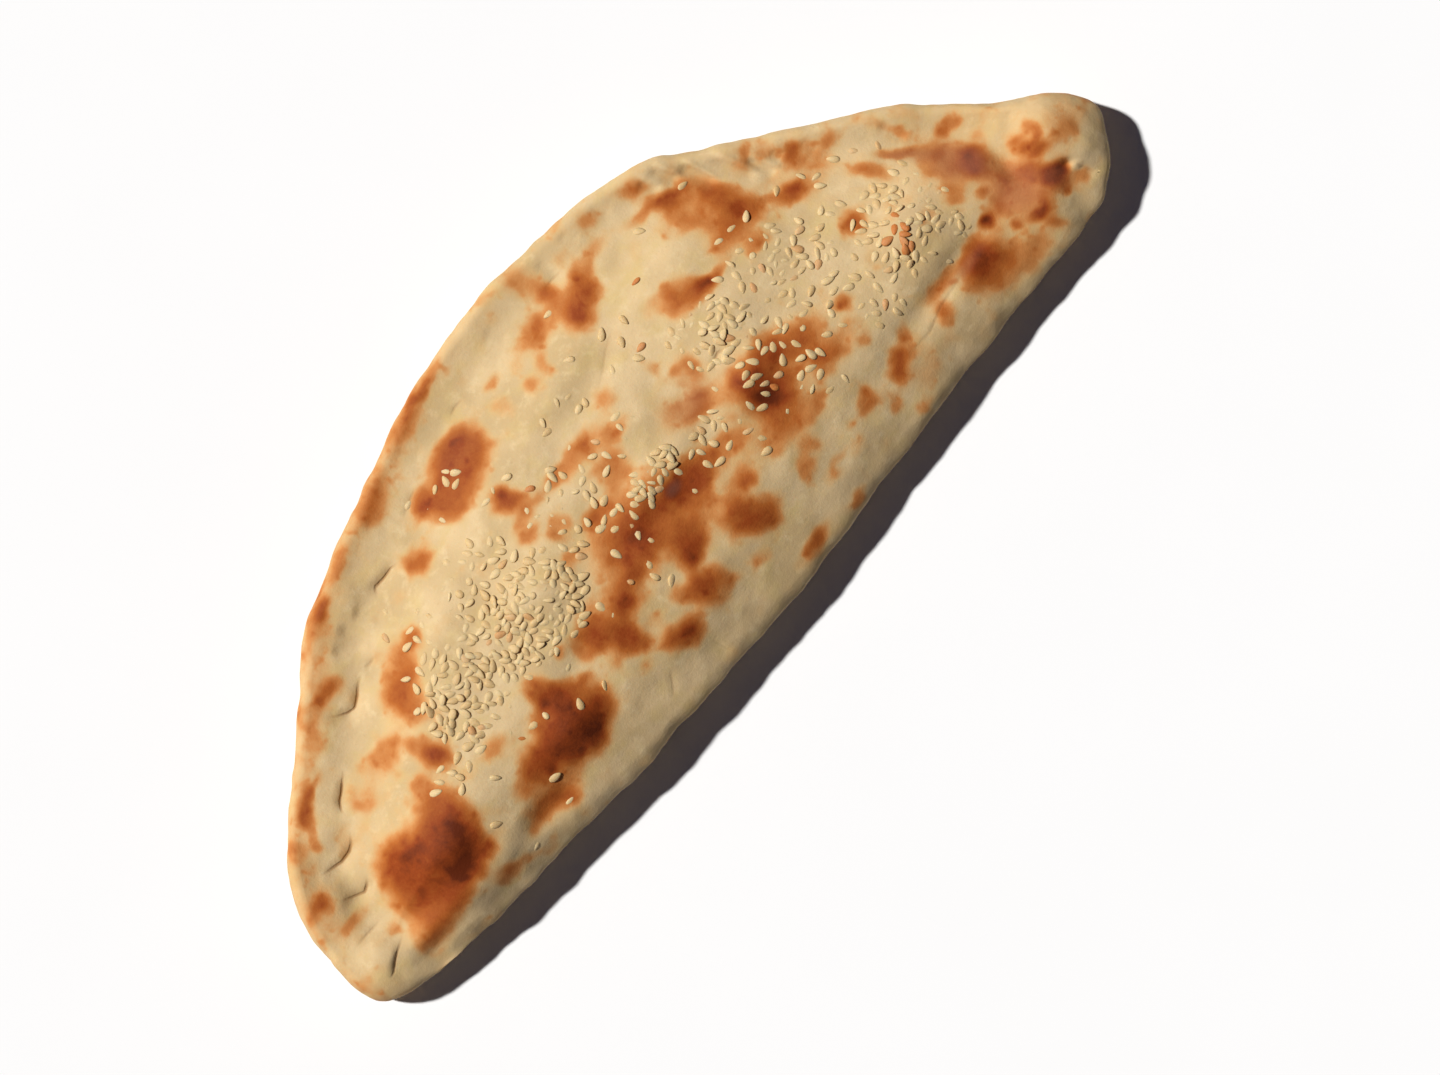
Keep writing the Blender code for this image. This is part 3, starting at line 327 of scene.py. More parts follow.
# Seeds that lie alone
LONE_SEEDS = [
    (-87.5, -13.0), (-85.0, -12.3), (-82.5, -10.5), (-81.5, -13.2), (-81.0, -15.2), (-83.0, -17.5),
    (-77.8, -12.0), (-77.5, -15.5), (-84.5, -29.0), (-83.0, -39.5), (-76.0, -22.0), (-74.0, -12.5),
    (-71.7, -12.5), (-73.0, -15.2), (-66.0, -18.5), (-58.5, -17.0), (-61.0, -21.3), (-57.0, -22.0),
    (-49.0, -13.5), (-48.5, -18.3), (-45.0, -19.3), (-42.0, -12.0), (-40.5, -15.0), (-37.5, -16.0),
    (-50.0, -27.0), (-43.0, -29.0), (-67.5, -33.0), (-70.0, -39.5), (-29.0, -17.0), (-28.5, -20.0),
    (-28.5, -11.5), (-26.0, -9.0), (-22.5, -6.0), (-27.0, -6.0), (-71.0, 9.2), (-67.5, 7.5),
    (-75.5, 2.5), (-66.5, 19.0), (-62.0, 22.5), (-56.0, 13.5), (-52.5, 11.0), (-49.5, 13.0),
    (-46.0, 15.0), (-43.5, 15.0), (-43.5, 18.0), (-36.5, 17.0), (-33.0, 13.5), (-38.5, 11.0),
    (-31.5, 11.5), (-38.5, 34.5), (-36.0, 29.5), (-32.0, 31.5), (-36.0, 25.5), (-27.0, 32.0),
    (-28.6, 30.6), (-25.5, 30.0), (-27.5, 28.3), (-20.0, -18.3), (-14.0, -19.3), (-15.5, -22.3),
    (-14.0, -26.3), (-17.0, -12.0), (-12.3, -8.2), (-10.0, -11.0), (-10.2, -13.0), (-9.3, -15.8),
    (-14.5, -5.5), (-12.5, -4.8), (-9.5, -5.5), (-8.0, -6.0), (-7.0, -9.6), (-5.0, -8.6), (-2.6, -11.5),
    (6.0, -17.0), (7.2, -12.0), (12.8, -16.0), (12.5, -11.5), (14.0, -13.0), (15.0, -17.8),
    (17.5, -14.0), (18.2, -9.8), (19.5, -17.3), (21.8, -13.8), (20.8, -11.5), (25.8, -15.5),
    (27.3, -13.5), (24.8, -18.5), (25.3, -22.0), (23.7, -25.0), (26.5, -9.5), (27.5, -6.3),
    (29.5, -15.5), (31.0, -17.8), (33.5, -12.0), (36.0, -12.5), (34.5, -10.3), (35.5, -7.5),
    (38.2, -9.5), (36.0, -15.0), (34.2, -16.5), (39.5, -16.2), (42.0, -10.0), (44.0, -11.0),
    (45.8, -12.5), (43.0, -14.8), (45.8, -17.8), (47.8, -15.0), (42.2, -8.0), (48.2, -19.2),
    (49.8, -20.6), (33.7, -23.0), (37.0, -25.0), (42.5, -20.5), (40.3, -22.5), (41.8, -24.0),
    (45.5, -21.2), (45.5, -23.8), (38.2, -28.5), (44.0, -27.8), (48.5, -29.0), (42.2, -33.3),
    (51.3, -13.2), (58.7, -16.8), (54.0, -19.2), (58.0, -20.8), (64.3, -21.7), (71.7, -18.3),
    (12.0, 25.0), (21.5, 22.8), (27.5, 20.8), (23.0, 18.0), (16.5, 15.5), (22.5, 12.5), (-3.5, 21.0),
    (-4.5, 18.5), (2.0, 21.0), (5.0, 19.7), (4.0, 16.0), (6.5, 16.0), (-19.0, 19.7), (-23.0, 20.8),
    (-26.5, 20.0), (17.8, 36.0), (-11.0, 12.5), (-12.0, 11.0), (-14.5, 10.3), (-4.2, 11.8), (8.3, 8.0),
    (41.5, 41.0), (44.5, 37.8), (46.5, 31.2), (61.5, 29.7), (55.5, 14.3), (60.3, 14.2), (64.7, 13.2),
    (74.3, 11.3), (80.3, 9.0), (82.7, 6.0), (81.5, 4.0), (66.3, 7.5), (57.5, 9.0), (60.5, 8.8),
    (48.5, 9.0), (43.8, 8.3), (36.5, 7.5), (34.0, 8.5), (52.0, 6.0), (88.5, 5.3), (93.0, 2.7),
    (98.0, -1.0), (94.5, -8.0), (98.0, -8.5), (97.0, -16.5), (100.0, -16.0), (95.5, -27.0),
]
TOASTED_SEEDS = [(-65.0, -21.0), (36.8, -17.0), (24.8, 13.5), (-18.0, 13.5), (36.5, 24.2)]
TOASTED_SPOT = (83.5, -18.5, 4.6)       # round here most of the seeds are toasted
TOASTED_SHARE, SINGED_SHARE = 0.75, 0.06
SLOPE_STEP = 1.1        # the slope under a seed is measured over this, each way
RANDOM_SEED = 11

# The picture

VIEW_PLACE = (1.0, -28.8, 960.0)
VIEW_TURN = -52.0
VIEW_LENS = 100.0
LIGHT_FROM = (-0.449, 0.893)
LIGHT_ELEVATION = 47.0
LIGHT_STRENGTH, LIGHT_SPREAD, LIGHT_COLOUR = 4.7, 3.6, (1.0, 0.99, 0.97)
ROOM_STRENGTH, ROOM_COLOUR = 0.042, (0.62, 0.60, 1.0)


# Plan geometry, in millimetres

def smooth_closed_curve(points, steps=24):
    """Points on the closed Catmull-Rom curve through the given ones, steps for each span."""
    count = len(points)
    curve = []
    for i in range(count):
        p0, p1, p2, p3 = (np.array(points[(i + k) % count]) for k in (-1, 0, 1, 2))
        for t in np.arange(steps) / steps:
            curve.append(
                0.5 * (2 * p1 + (p2 - p0) * t + (2 * p0 - 5 * p1 + 4 * p2 - p3) * t**2
                       + (3 * p1 - p0 - 3 * p2 + p3) * t**3)
            )
    return np.array(curve)


class Edge:
    """One of the outline's four sides: places, inward normals and rim share, by the share of its length."""

    def __init__(self, points, normals, rimness):
        self.points, self.normals, self.rimness = points, normals, rimness
        steps = np.linalg.norm(np.diff(points, axis=0), axis=1)
        self.length = np.concatenate([[0.0], np.cumsum(steps)])

    def at(self, values, share):
        along = np.asarray(share) * self.length[-1]
        return np.interp(along, self.length, values)

    def place(self, share):
        return np.stack([self.at(self.points[:, k], share) for k in (0, 1)], -1)

    def normal(self, share):
        n = np.stack([self.at(self.normals[:, k], share) for k in (0, 1)], -1)
        return n / np.linalg.norm(n, axis=-1, keepdims=True)


def outline_edges(steps=24):
    """The outline, its rim share, and its sides: fold and rim run to the right, the ends upwards."""
    curve = smooth_closed_curve(OUTLINE, steps)
    ahead, behind = np.roll(curve, -steps // 4, 0), np.roll(curve, steps // 4, 0)
    tangent = (ahead - behind) / np.linalg.norm(ahead - behind, axis=1, keepdims=True)
    normals = np.stack([-tangent[:, 1], tangent[:, 0]], -1)
    rimness = np.zeros(len(curve))
    rimness[RIM_RIGHT * steps :] = 1.0
    spread = 2 * steps
    window = np.hanning(spread * 2 + 1)
    wrapped = np.concatenate([rimness[-spread:], rimness, rimness[:spread]])
    rimness = np.convolve(wrapped, window / window.sum(), "valid")

    def side(first, last):
        index = np.arange(first * steps, last * steps + 1) % len(curve)
        return Edge(curve[index], normals[index], rimness[index])

    fold = side(FOLD_LEFT, FOLD_RIGHT)
    right = side(FOLD_RIGHT, RIM_RIGHT)
    rim = side(RIM_RIGHT, RIM_LEFT)
    left = side(RIM_LEFT, len(OUTLINE))
    rim = Edge(rim.points[::-1], rim.normals[::-1], rim.rimness[::-1])
    left = Edge(left.points[::-1], left.normals[::-1], left.rimness[::-1])
    return curve, rimness, (fold, right, rim, left)


def nearest_on(run, places):
    """For each place: its distance from a run of points, where along the run that is, and which side."""
    run = np.asarray(run, float)
    near = np.full(len(places), 1e9)
    along, side = np.zeros(len(places)), np.zeros(len(places))
    for k in range(len(run) - 1):
        a, span = run[k], run[k + 1] - run[k]
        t = np.clip(((places - a) @ span) / max(span @ span, 1e-12), 0, 1)
        dx, dy = places[:, 0] - a[0] - t * span[0], places[:, 1] - a[1] - t * span[1]
        gap = np.hypot(dx, dy)
        closer = gap < near
        near = np.where(closer, gap, near)
        along = np.where(closer, k + t, along)
        side = np.where(closer, np.sign(span[0] * dy - span[1] * dx), side)
    return near, along, side


def around(places, x, y, half_length, half_width, turn):
    """How far each place is from the middle of a turned ellipse: 1 on the ellipse."""
    c, s = math.cos(math.radians(turn)), math.sin(math.radians(turn))
    dx, dy = places[:, 0] - x, places[:, 1] - y
    return np.hypot((dx * c + dy * s) / half_length, (dy * c - dx * s) / half_width)


def rising(share):
    """From 0 to 1, steep at first and level at the end."""
    return 1 - (1 - np.clip(share, 0, 1)) ** 2


def easing(share):
    """From 0 to 1, level at both ends."""
    share = np.clip(share, 0, 1)
    return share * share * (3 - 2 * share)


def grain(places, size, layer=0.0):
    """Smooth random values from -1 to 1 whose lumps are about that size."""
    if places.shape[1] == 2:
        return np.array([noise.noise(Vector((x / size, y / size, layer))) for x, y in places])
    return np.array([noise.noise(Vector((x / size + layer, y / size, z / size))) for x, y, z in places])


def along_gash(run, places, ends=PINCH_ENDS):
    """How far each place is from a pinch's line, on which side, and how much of its depth is left there."""
    gap, along, side = nearest_on(run, places)
    share = along / (len(run) - 1)
    return gap, side, easing(ends * share) * easing(ends * (1 - share))


class Dough:
    """The pie's shape: where its edge runs, and how high its top is at any place."""

    def __init__(self):
        curve, self.curve_rimness, (self.fold, self.right, self.rim, self.left) = outline_edges()
        self.fold_run = np.concatenate([self.fold.points, self.right.points])
        self.rim_run = np.concatenate([self.left.points, self.rim.points])
        self.closed = np.concatenate([curve, curve[:1]])
        self.closed_rimness = np.append(self.curve_rimness, self.curve_rimness[0])

    def top(self, places):
        """The top's height, before the edge is rounded."""
        x = places[:, 0]
        from_fold, from_rim = nearest_on(self.fold_run, places)[0], nearest_on(self.rim_run, places)[0]
        groove = np.interp(x, *zip(*GROOVE_STATIONS))
        lift = np.interp(x, *zip(*LIFT_STATIONS))
        shoulder = easing((from_rim - groove) / SHOULDER_RISE)
        dome = easing((from_rim - groove + DOME_OVERLAP) / (RIM_RISE + DOME_OVERLAP)) ** DOME_POWER
        dome *= rising(from_fold / FOLD_RISE)
        roll = (1 - np.clip(from_rim / groove, 0, 1) ** 2) ** 2
        height = GROOVE_HEIGHT + (FOLD_HEIGHT + lift - GROOVE_HEIGHT) * shoulder + DOME_GAIN * dome
        height += np.interp(x, *zip(*ROLL_STATIONS)) * roll
        end = easing((LEFT_END[0] - x) / LEFT_END[1]) + easing((x - RIGHT_END[0]) / RIGHT_END[1])
        height += (END_HEIGHT + lift - height) * end
        for *spot, rise in BULGES:
            height += rise * np.exp(-BULGE_FALL * around(places, *spot) ** 2)
        wavelength, swing = UNDULATION
        height += swing * grain(places, wavelength, 0.3)
        ridge, away, width = PLEAT_RIDGE
        for west, east, depth, crisp, run in PLEATS:
            gap, side, fade = along_gash(run, places, PLEAT_ENDS)
            height -= fade * depth * np.exp(-((gap / np.where(side > 0, east, west)) ** 2))
            height += fade * crisp * ridge * np.where(side > 0, np.exp(-(((gap - away) / width) ** 2)), 0.0)
        for pillow, rise, depth, run in GASHES:
            gap, side, fade = along_gash(run, places)
            drop = (1 - np.clip(gap / pillow, 0, 1)) ** PINCH_POWER
            height -= fade * depth * np.where(side < 0, np.exp(-((gap / rise) ** 2)), drop)
        return height

    @staticmethod
    def blend(which, rimness):
        return FOLD_EDGE[which] + (RIM_EDGE[which] - FOLD_EDGE[which]) * rimness

    def middle(self, places, rimness):
        """The height of the edge's middle."""
        lift, lower = (np.interp(places[:, 0], *zip(*run)) for run in (LIFT_STATIONS, LOWER_STATIONS))
        return self.blend(2, rimness) + (lift - lower) * (1 - rimness)

    def rounded(self, places, inset, rimness, height):
        """The top's height with its edge rounded down to the edge's middle."""
        middle = self.middle(places, rimness)
        wider = np.interp(places[:, 0], *zip(*WIDER_STATIONS)) * (1 - rimness)
        share = np.clip(inset / (self.blend(0, rimness) + wider), 0, 1)
        return middle + (height - middle) * np.sqrt(1 - (1 - share) ** 2)

    def surface(self, places):
        """The finished top at any place inside the outline."""
        inset, along, _ = nearest_on(self.closed, places)
        rimness = np.interp(along, np.arange(len(self.closed)), self.closed_rimness)
        return self.rounded(places, inset, rimness, self.top(places))

    def inset_border(self, edge, share, inset):
        return edge.place(share) + edge.normal(share) * np.asarray(inset)[..., None]

    def patch(self, u, v, which):
        """A place inside the inset border, from its two shares: a Coons patch of the four sides."""
        def border(edge, share):
            return self.inset_border(edge, share, self.blend(which, edge.at(edge.rimness, share)))

        low, high = border(self.fold, u), border(self.rim, u)
        left, right = border(self.left, v), border(self.right, v)
        start, end = np.zeros(1), np.ones(1)
        u, v = u[:, None], v[:, None]
        corners = (1 - v) * ((1 - u) * border(self.fold, start) + u * border(self.fold, end))
        corners += v * ((1 - u) * border(self.rim, start) + u * border(self.rim, end))
        return (1 - v) * low + v * high + (1 - u) * left + u * right - corners


# The dough's mesh

def divided_block(along, across, deep):
    """A closed block from -1 to 1, cut into that many parts each way, with one face below."""
    bm = bmesh.new()
    bmesh.ops.create_cube(bm, size=2)
    for axis, parts in enumerate((along, across, deep)):
        edges = [e for e in bm.edges if abs(e.verts[0].co[axis] - e.verts[1].co[axis]) > 1e-6]
        bmesh.ops.subdivide_edges(bm, edges=edges, cuts=parts - 1, use_grid_fill=True)
    below = [f for f in bm.faces if all(v.co.z < -1 + 1e-5 for v in f.verts)]
    bmesh.ops.delete(bm, geom=below, context="FACES")
    bmesh.ops.edgeloop_fill(bm, edges=[e for e in bm.edges if e.is_boundary])
    return bm


def shape_block(bm, dough):
    """Moves a divided block's vertices on to the pie, and returns where they are."""
    vertices = list(bm.verts)
    unit = np.array([v.co for v in vertices])
    u, v = (unit[:, 0] + 1) / 2, (unit[:, 1] + 1) / 2
    placed = np.zeros((len(unit), 3))

    top = unit[:, 2] > 1 - 1e-5
    plan = dough.patch(u[top], v[top], 0)
    placed[top, :2] = plan
    placed[top, 2] = dough.surface(plan)

    sides = ((dough.fold, u, unit[:, 1] < -1 + 1e-5), (dough.rim, u, unit[:, 1] > 1 - 1e-5),
             (dough.left, v, unit[:, 0] < -1 + 1e-5), (dough.right, v, unit[:, 0] > 1 - 1e-5))
    for edge, share, on_side in sides:
        here = ~top & on_side
        rimness = edge.at(edge.rimness, share[here])
        angle = unit[here, 2] * math.pi / 2
        width = np.where(angle > 0, dough.blend(0, rimness), dough.blend(1, rimness))
        inset = width * (1 - np.cos(angle))
        plan = dough.inset_border(edge, share[here], inset)
        upper = dough.rounded(plan, inset, rimness, dough.top(plan))
        lower = dough.middle(plan, rimness) * (1 + np.sin(np.minimum(angle, 0)))
        placed[here, :2] = plan
        placed[here, 2] = np.where(angle > 0, upper, lower)

    for vertex, place in zip(vertices, placed):
        vertex.co = Vector(place) * MM
    return placed


def roughen(bm, placed, edge):
    """Small lumps and dimples of baked dough, along the surface's normals: most at the edge, none below."""
    bm.normal_update()
    fade = np.clip(placed[:, 2] / LUMPS_FADE, 0, 1) * (1 + LUMPS_EDGE[1] * edge)
    lumps = sum(height * grain(placed, size, layer) for height, size, layer in LUMPS)
    for vertex, move in zip(bm.verts, lumps * fade):
        vertex.co += vertex.normal * (float(move) * MM)


def toast_at(places):
    """How brown the oven has made each place, from 0 to 1."""
    warp = np.stack([2.0 * grain(places, 5.5, 1.5) + 0.9 * grain(places, 2.1, 4.5),
                     2.0 * grain(places, 5.5, 8.5) + 0.9 * grain(places, 2.1, 6.5)], -1)
    moved = places + warp * BLOT_STRAY
    pale = np.ones(len(places))
    for *spot, brown in BLOTS:
        pale *= 1 - brown * easing((BLOT_REACH - around(moved, *spot)) / BLOT_SOFT) ** BLOT_POWER
    moved = places + warp * FIELD_STRAY
    for brown, soft, run in FIELDS:
        gap = nearest_on(run + run[:1], moved)[0]
        inside = winding(run, moved)
        depth = np.where(inside, gap, -gap)
        pale *= 1 - brown * easing((depth + soft * 0.6) / (soft * 1.8))
    return 1 - pale


def winding(run, places):
    """Which places are inside a closed run of points."""
    inside = np.zeros(len(places), bool)
    x, y = places[:, 0], places[:, 1]
    for (x1, y1), (x2, y2) in zip(run, run[1:] + run[:1]):
        crosses = (y1 > y) != (y2 > y)
        with np.errstate(divide="ignore", invalid="ignore"):
            inside ^= crosses & (x < (x2 - x1) * (y - y1) / (y2 - y1) + x1)
    return inside


def dusky_at(places):
    """How pinkish and dusky the toast is at each place, from 0 to 1."""
    clear = np.ones(len(places))
    for *spot, strength in DUSKY:
        clear *= 1 - strength * easing((DUSKY_REACH - around(places, *spot)) / DUSKY_SOFT)
    return 1 - clear


def nearest_line(places, lines):
    """For each place: how far the nearest line is, signed by its side, and how strong the shade painted
    along it is there.
    """
    nearest, strong = np.full(len(places), 9.0), np.zeros(len(places))
    for strength, run in lines:
        gap, side, fade = along_gash(run, places)
        closer = gap < abs(nearest)
        nearest = np.where(closer, gap * np.where(side < 0, -1, 1), nearest)
        strong = np.where(closer, fade * strength * easing((LINE_REACH - gap) / LINE_SOFT), strong)
    return nearest, strong


def keep_values(mesh, **values):
    """Stores a number for each vertex under each name."""
    for name, numbers in values.items():
        layer = mesh.attributes.new(name, "FLOAT", "POINT")
        layer.data.foreach_set("value", np.asarray(numbers, np.float32))


def pleat_shade_at(places):
    """How deep in a crisp pleat each place lies, from 0 to 1, which sets the shade painted in its valley,
    wider to the west.
    """
    pleat = np.zeros(len(places))
    for west, east, _, crisp, run in PLEATS:
        gap, side, fade = along_gash(run, places, PLEAT_ENDS)
        width = np.where(side > 0, east * 0.7, west)
        pleat = np.maximum(pleat, crisp * fade * np.exp(-((gap / width) ** 2)))
    return pleat


def blush_at(places, rim_run):
    """How strongly the rim is blushed at each place."""
    near = easing(1 - nearest_on(rim_run, places)[0] / BLUSH_WIDTH)
    return near * np.interp(places[:, 0], *zip(*BLUSH_STATIONS))


def new_piece(mesh, finish):
    mesh.shade_smooth()
    mesh.materials.append(finish)
    piece = bpy.data.objects.new(mesh.name, mesh)
    bpy.context.scene.collection.objects.link(piece)
    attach(piece, "root")
    return piece


def make_crust(dough, finish):
    bm = divided_block(*DIVISIONS)
    placed = shape_block(bm, dough)
    plan = placed[:, :2]
    roughen(bm, placed, easing(1 - nearest_on(dough.closed, plan)[0] / LUMPS_EDGE[0]))
    mesh = bpy.data.meshes.new("pie_crust")
    bm.to_mesh(mesh)
    bm.free()
    # How strong the painted shade along each pinch's crease is, and how far off its line each place lies.
    tuck_gap, tuck = nearest_line(plan, [(min(depth, 1.0), run) for _, _, depth, run in GASHES])
    keep_values(mesh, toast=toast_at(plan), dusky=dusky_at(plan), rim=blush_at(plan, dough.rim_run))
    # The last value is the shade painted in each crisp pleat's valley.
    keep_values(mesh, tuck_gap=tuck_gap, tuck=tuck, pleat=pleat_shade_at(plan))
    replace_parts(new_piece(mesh, finish), "pie")


# The seeds

def seed_shape():
    """A sesame seed lying along X, of unit size: a flattened drop, pointed at one end."""
    bm = bmesh.new()
    bmesh.ops.create_uvsphere(bm, u_segments=8, v_segments=6, radius=0.5)
    bmesh.ops.rotate(bm, verts=list(bm.verts), cent=(0, 0, 0), matrix=Matrix.Rotation(math.pi / 2, 3, "Y"))
    for vertex in bm.verts:
        x, y, z = vertex.co
        slimmer = 1.06 - 0.62 * (x + 0.12) - 0.45 * x * x
        vertex.co = (x * (1.04 if x > 0 else 0.98), y * slimmer, z * (1.0 - 0.3 * (x + 0.1)))
    mesh = bpy.data.meshes.new("seed")
    bm.to_mesh(mesh)
    bm.free()
    return mesh


def strewn(draw):
    """Where the seeds lie: the lone ones, then the patches' own."""
    laid = list(LONE_SEEDS) + list(TOASTED_SEEDS)
    for x, y, half_length, half_width, turn, count, gap in SEED_PATCHES:
        c, s = math.cos(math.radians(turn)), math.sin(math.radians(turn))
        placed = 0
        for _ in range(count * 30):
            if placed >= count:
                break
            reach, angle = draw.random() ** SEED_SPREAD, draw.uniform(0, 2 * math.pi)
            a, b = reach * math.cos(angle) * half_length, reach * math.sin(angle) * half_width
            spot = (x + a * c - b * s, y + a * s + b * c)
            if all(math.hypot(spot[0] - q[0], spot[1] - q[1]) > gap for q in laid):
                laid.append(spot)
                placed += 1
    return laid


def seed_toast(draw, x, y):
    """How toasted the seed at a place is, from 0 to 1."""
    near_spot = math.hypot(x - TOASTED_SPOT[0], y - TOASTED_SPOT[1]) < TOASTED_SPOT[2]
    if (x, y) in TOASTED_SEEDS or near_spot and draw.random() < TOASTED_SHARE:
        return draw.uniform(0.7, 1.0)
    return draw.uniform(0.2, 0.5) if draw.random() < SINGED_SHARE else 0.0


def make_seeds(dough, finish):
    draw = random.Random(RANDOM_SEED)
    spots = strewn(draw)
    plan = np.array(spots)
    height = dough.surface(plan)
    slope = [(dough.surface(plan + step) - dough.surface(plan - step)) / (2 * SLOPE_STEP)
             for step in ((SLOPE_STEP, 0), (0, SLOPE_STEP))]
    seed = seed_shape()
    bm = bmesh.new()
    shades, toasts = [], []
    for number, (x, y) in enumerate(spots):
        under = min(sum(math.hypot(x - a, y - b) < SEED_CROWD for a, b in spots[:number]), 2)
        lean = Vector((draw.gauss(0, SEED_LEAN), draw.gauss(0, SEED_LEAN), 0)) * (1 + 0.8 * under)
        up = (Vector((-slope[0][number], -slope[1][number], 1.0)) + lean).normalized()
        heading, roll = draw.uniform(0, 2 * math.pi), draw.gauss(0, SEED_ROLL)
        turn = Matrix.Rotation(heading, 4, "Z") @ Matrix.Rotation(roll, 4, "X")
        scale = draw.uniform(0.88, 1.1)
        size = np.array(SEED_SIZE) * (scale, scale * draw.uniform(0.9, 1.1), draw.uniform(0.85, 1.15)) * MM
        place = (Vector((x, y, height[number])) + up * (SEED_STACK * under - SEED_SUNK)) * MM
        lay = Matrix.Translation(place) @ up.to_track_quat("Z", "Y").to_matrix().to_4x4()
        bm.from_mesh(seed)
        bm.verts.ensure_lookup_table()
        moved = bm.verts[-len(seed.vertices) :]
        bmesh.ops.transform(bm, matrix=lay @ turn @ Matrix.Diagonal((*size, 1.0)), verts=moved)
        toasts.append(seed_toast(draw, x, y))
        shades.append(draw.random())
    mesh = bpy.data.meshes.new("sesame_seeds")
    bm.to_mesh(mesh)
    bm.free()
    # Painted shade: each seed is darker towards its underside, where it sinks into the dough.
    low = np.array([np.clip(0.32 - 1.7 * corner.co.z, 0, 1) for corner in seed.vertices])
    shades, toasts = (np.repeat(numbers, len(low)) for numbers in (shades, toasts))
    keep_values(mesh, shade=shades, toasted=toasts, low=np.tile(low, len(spots)))
    bpy.data.meshes.remove(seed)
    new_piece(mesh, finish)


# Finishes

class Value:
    """A shader socket that takes part in sums: an expression on it adds its Math nodes."""

    def __init__(self, finish, socket):
        self.finish, self.socket = finish, socket

    def _math(self, operation, *terms):
        return self.finish.add("ShaderNodeMath", {"operation": operation}, dict(enumerate(terms)))

    def __add__(self, other):
        return self._math("ADD", self, other)

    def __sub__(self, other):
        return self._math("SUBTRACT", self, other)

    def __rsub__(self, other):
        return self._math("SUBTRACT", other, self)

    def __mul__(self, other):
        return self._math("MULTIPLY", self, other)

    __radd__, __rmul__ = __add__, __mul__

    def __abs__(self):
        return self._math("ABSOLUTE", self)

    def between(self, low, high):
        """From 0 to 1 as this goes from low to high, level at both ends."""
        sockets = {"Value": self, "From Min": low, "From Max": high}
        return self.finish.add("ShaderNodeMapRange", {"interpolation_type": "SMOOTHSTEP"}, sockets)


class Finish:
    """A material made of nodes, each added with its settings first and then what feeds its sockets."""

    def __init__(self, name, **constants):
        self.material = bpy.data.materials.new(name)
        self.material.use_nodes = True
        self.tree = self.material.node_tree
        self.shader = self.tree.nodes["Principled BSDF"]
        for socket, value in constants.items():
            self.shader.inputs[socket.replace("_", " ")].default_value = value

    def feed(self, socket, value):
        if isinstance(value, Value):
            self.tree.links.new(value.socket, socket)
        else:
            socket.default_value = value

    def add(self, kind, settings, sockets, result=0):
        node = self.tree.nodes.new(kind)
        for name, value in settings.items():
            if name == "stops":
                ramp = node.color_ramp.elements
                while len(ramp) < len(value):
                    ramp.new(0.5)
                for stop, (place, colour) in zip(ramp, value):
                    stop.position, stop.color = place, (*colour, 1.0)
            else:
                setattr(node, name, value)
        for name, value in sockets.items():
            self.feed(node.inputs[name], value)
        return Value(self, node.outputs[result])

    def stored(self, name):
        return self.add("ShaderNodeAttribute", {"attribute_name": name}, {}, "Fac")

    def place(self):
        return self.add("ShaderNodeTexCoord", {}, {}, "Object")

    def cloud(self, size, detail=3.0, roughness=0.55, stretch=(1, 1, 1)):
        """Noise from 0 to 1 whose lumps are about that many millimetres."""
        where = self.add("ShaderNodeMapping", {}, {"Vector": self.place(), "Scale": stretch})
        sockets = {"Vector": where, "Scale": 1 / (size * MM), "Detail": detail, "Roughness": roughness}
        return self.add("ShaderNodeTexNoise", {}, sockets)

    def mix(self, share, low, high):
        settings = {"data_type": "RGBA", "clamp_factor": True}
        low, high = (c if isinstance(c, Value) else (*c, 1.0) for c in (low, high))
        return self.add("ShaderNodeMix", settings, {0: share, 6: low, 7: high}, 2)

    def ramp(self, value, stops):
        return self.add("ShaderNodeValToRGB", {"stops": stops}, {0: value}, "Color")

    def end(self, colour, roughness, height=None, depth=0.0):
        self.feed(self.shader.inputs["Base Color"], colour)
        self.feed(self.shader.inputs["Roughness"], roughness)
        if height is not None:
            settings = {"Height": height, "Distance": depth * MM, "Strength": 1.0}
            self.feed(self.shader.inputs["Normal"], self.add("ShaderNodeBump", {}, settings, "Normal"))
        return self.material


def shade_of(red, green, blue):
    """A colour given as it looks on a screen, from 0 to 255, turned into a shader's colour."""
    def linear(c):
        c = c / 255
        return c / 12.92 if c <= 0.04045 else ((c + 0.055) / 1.055) ** 2.4
    return linear(red), linear(green), linear(blue)


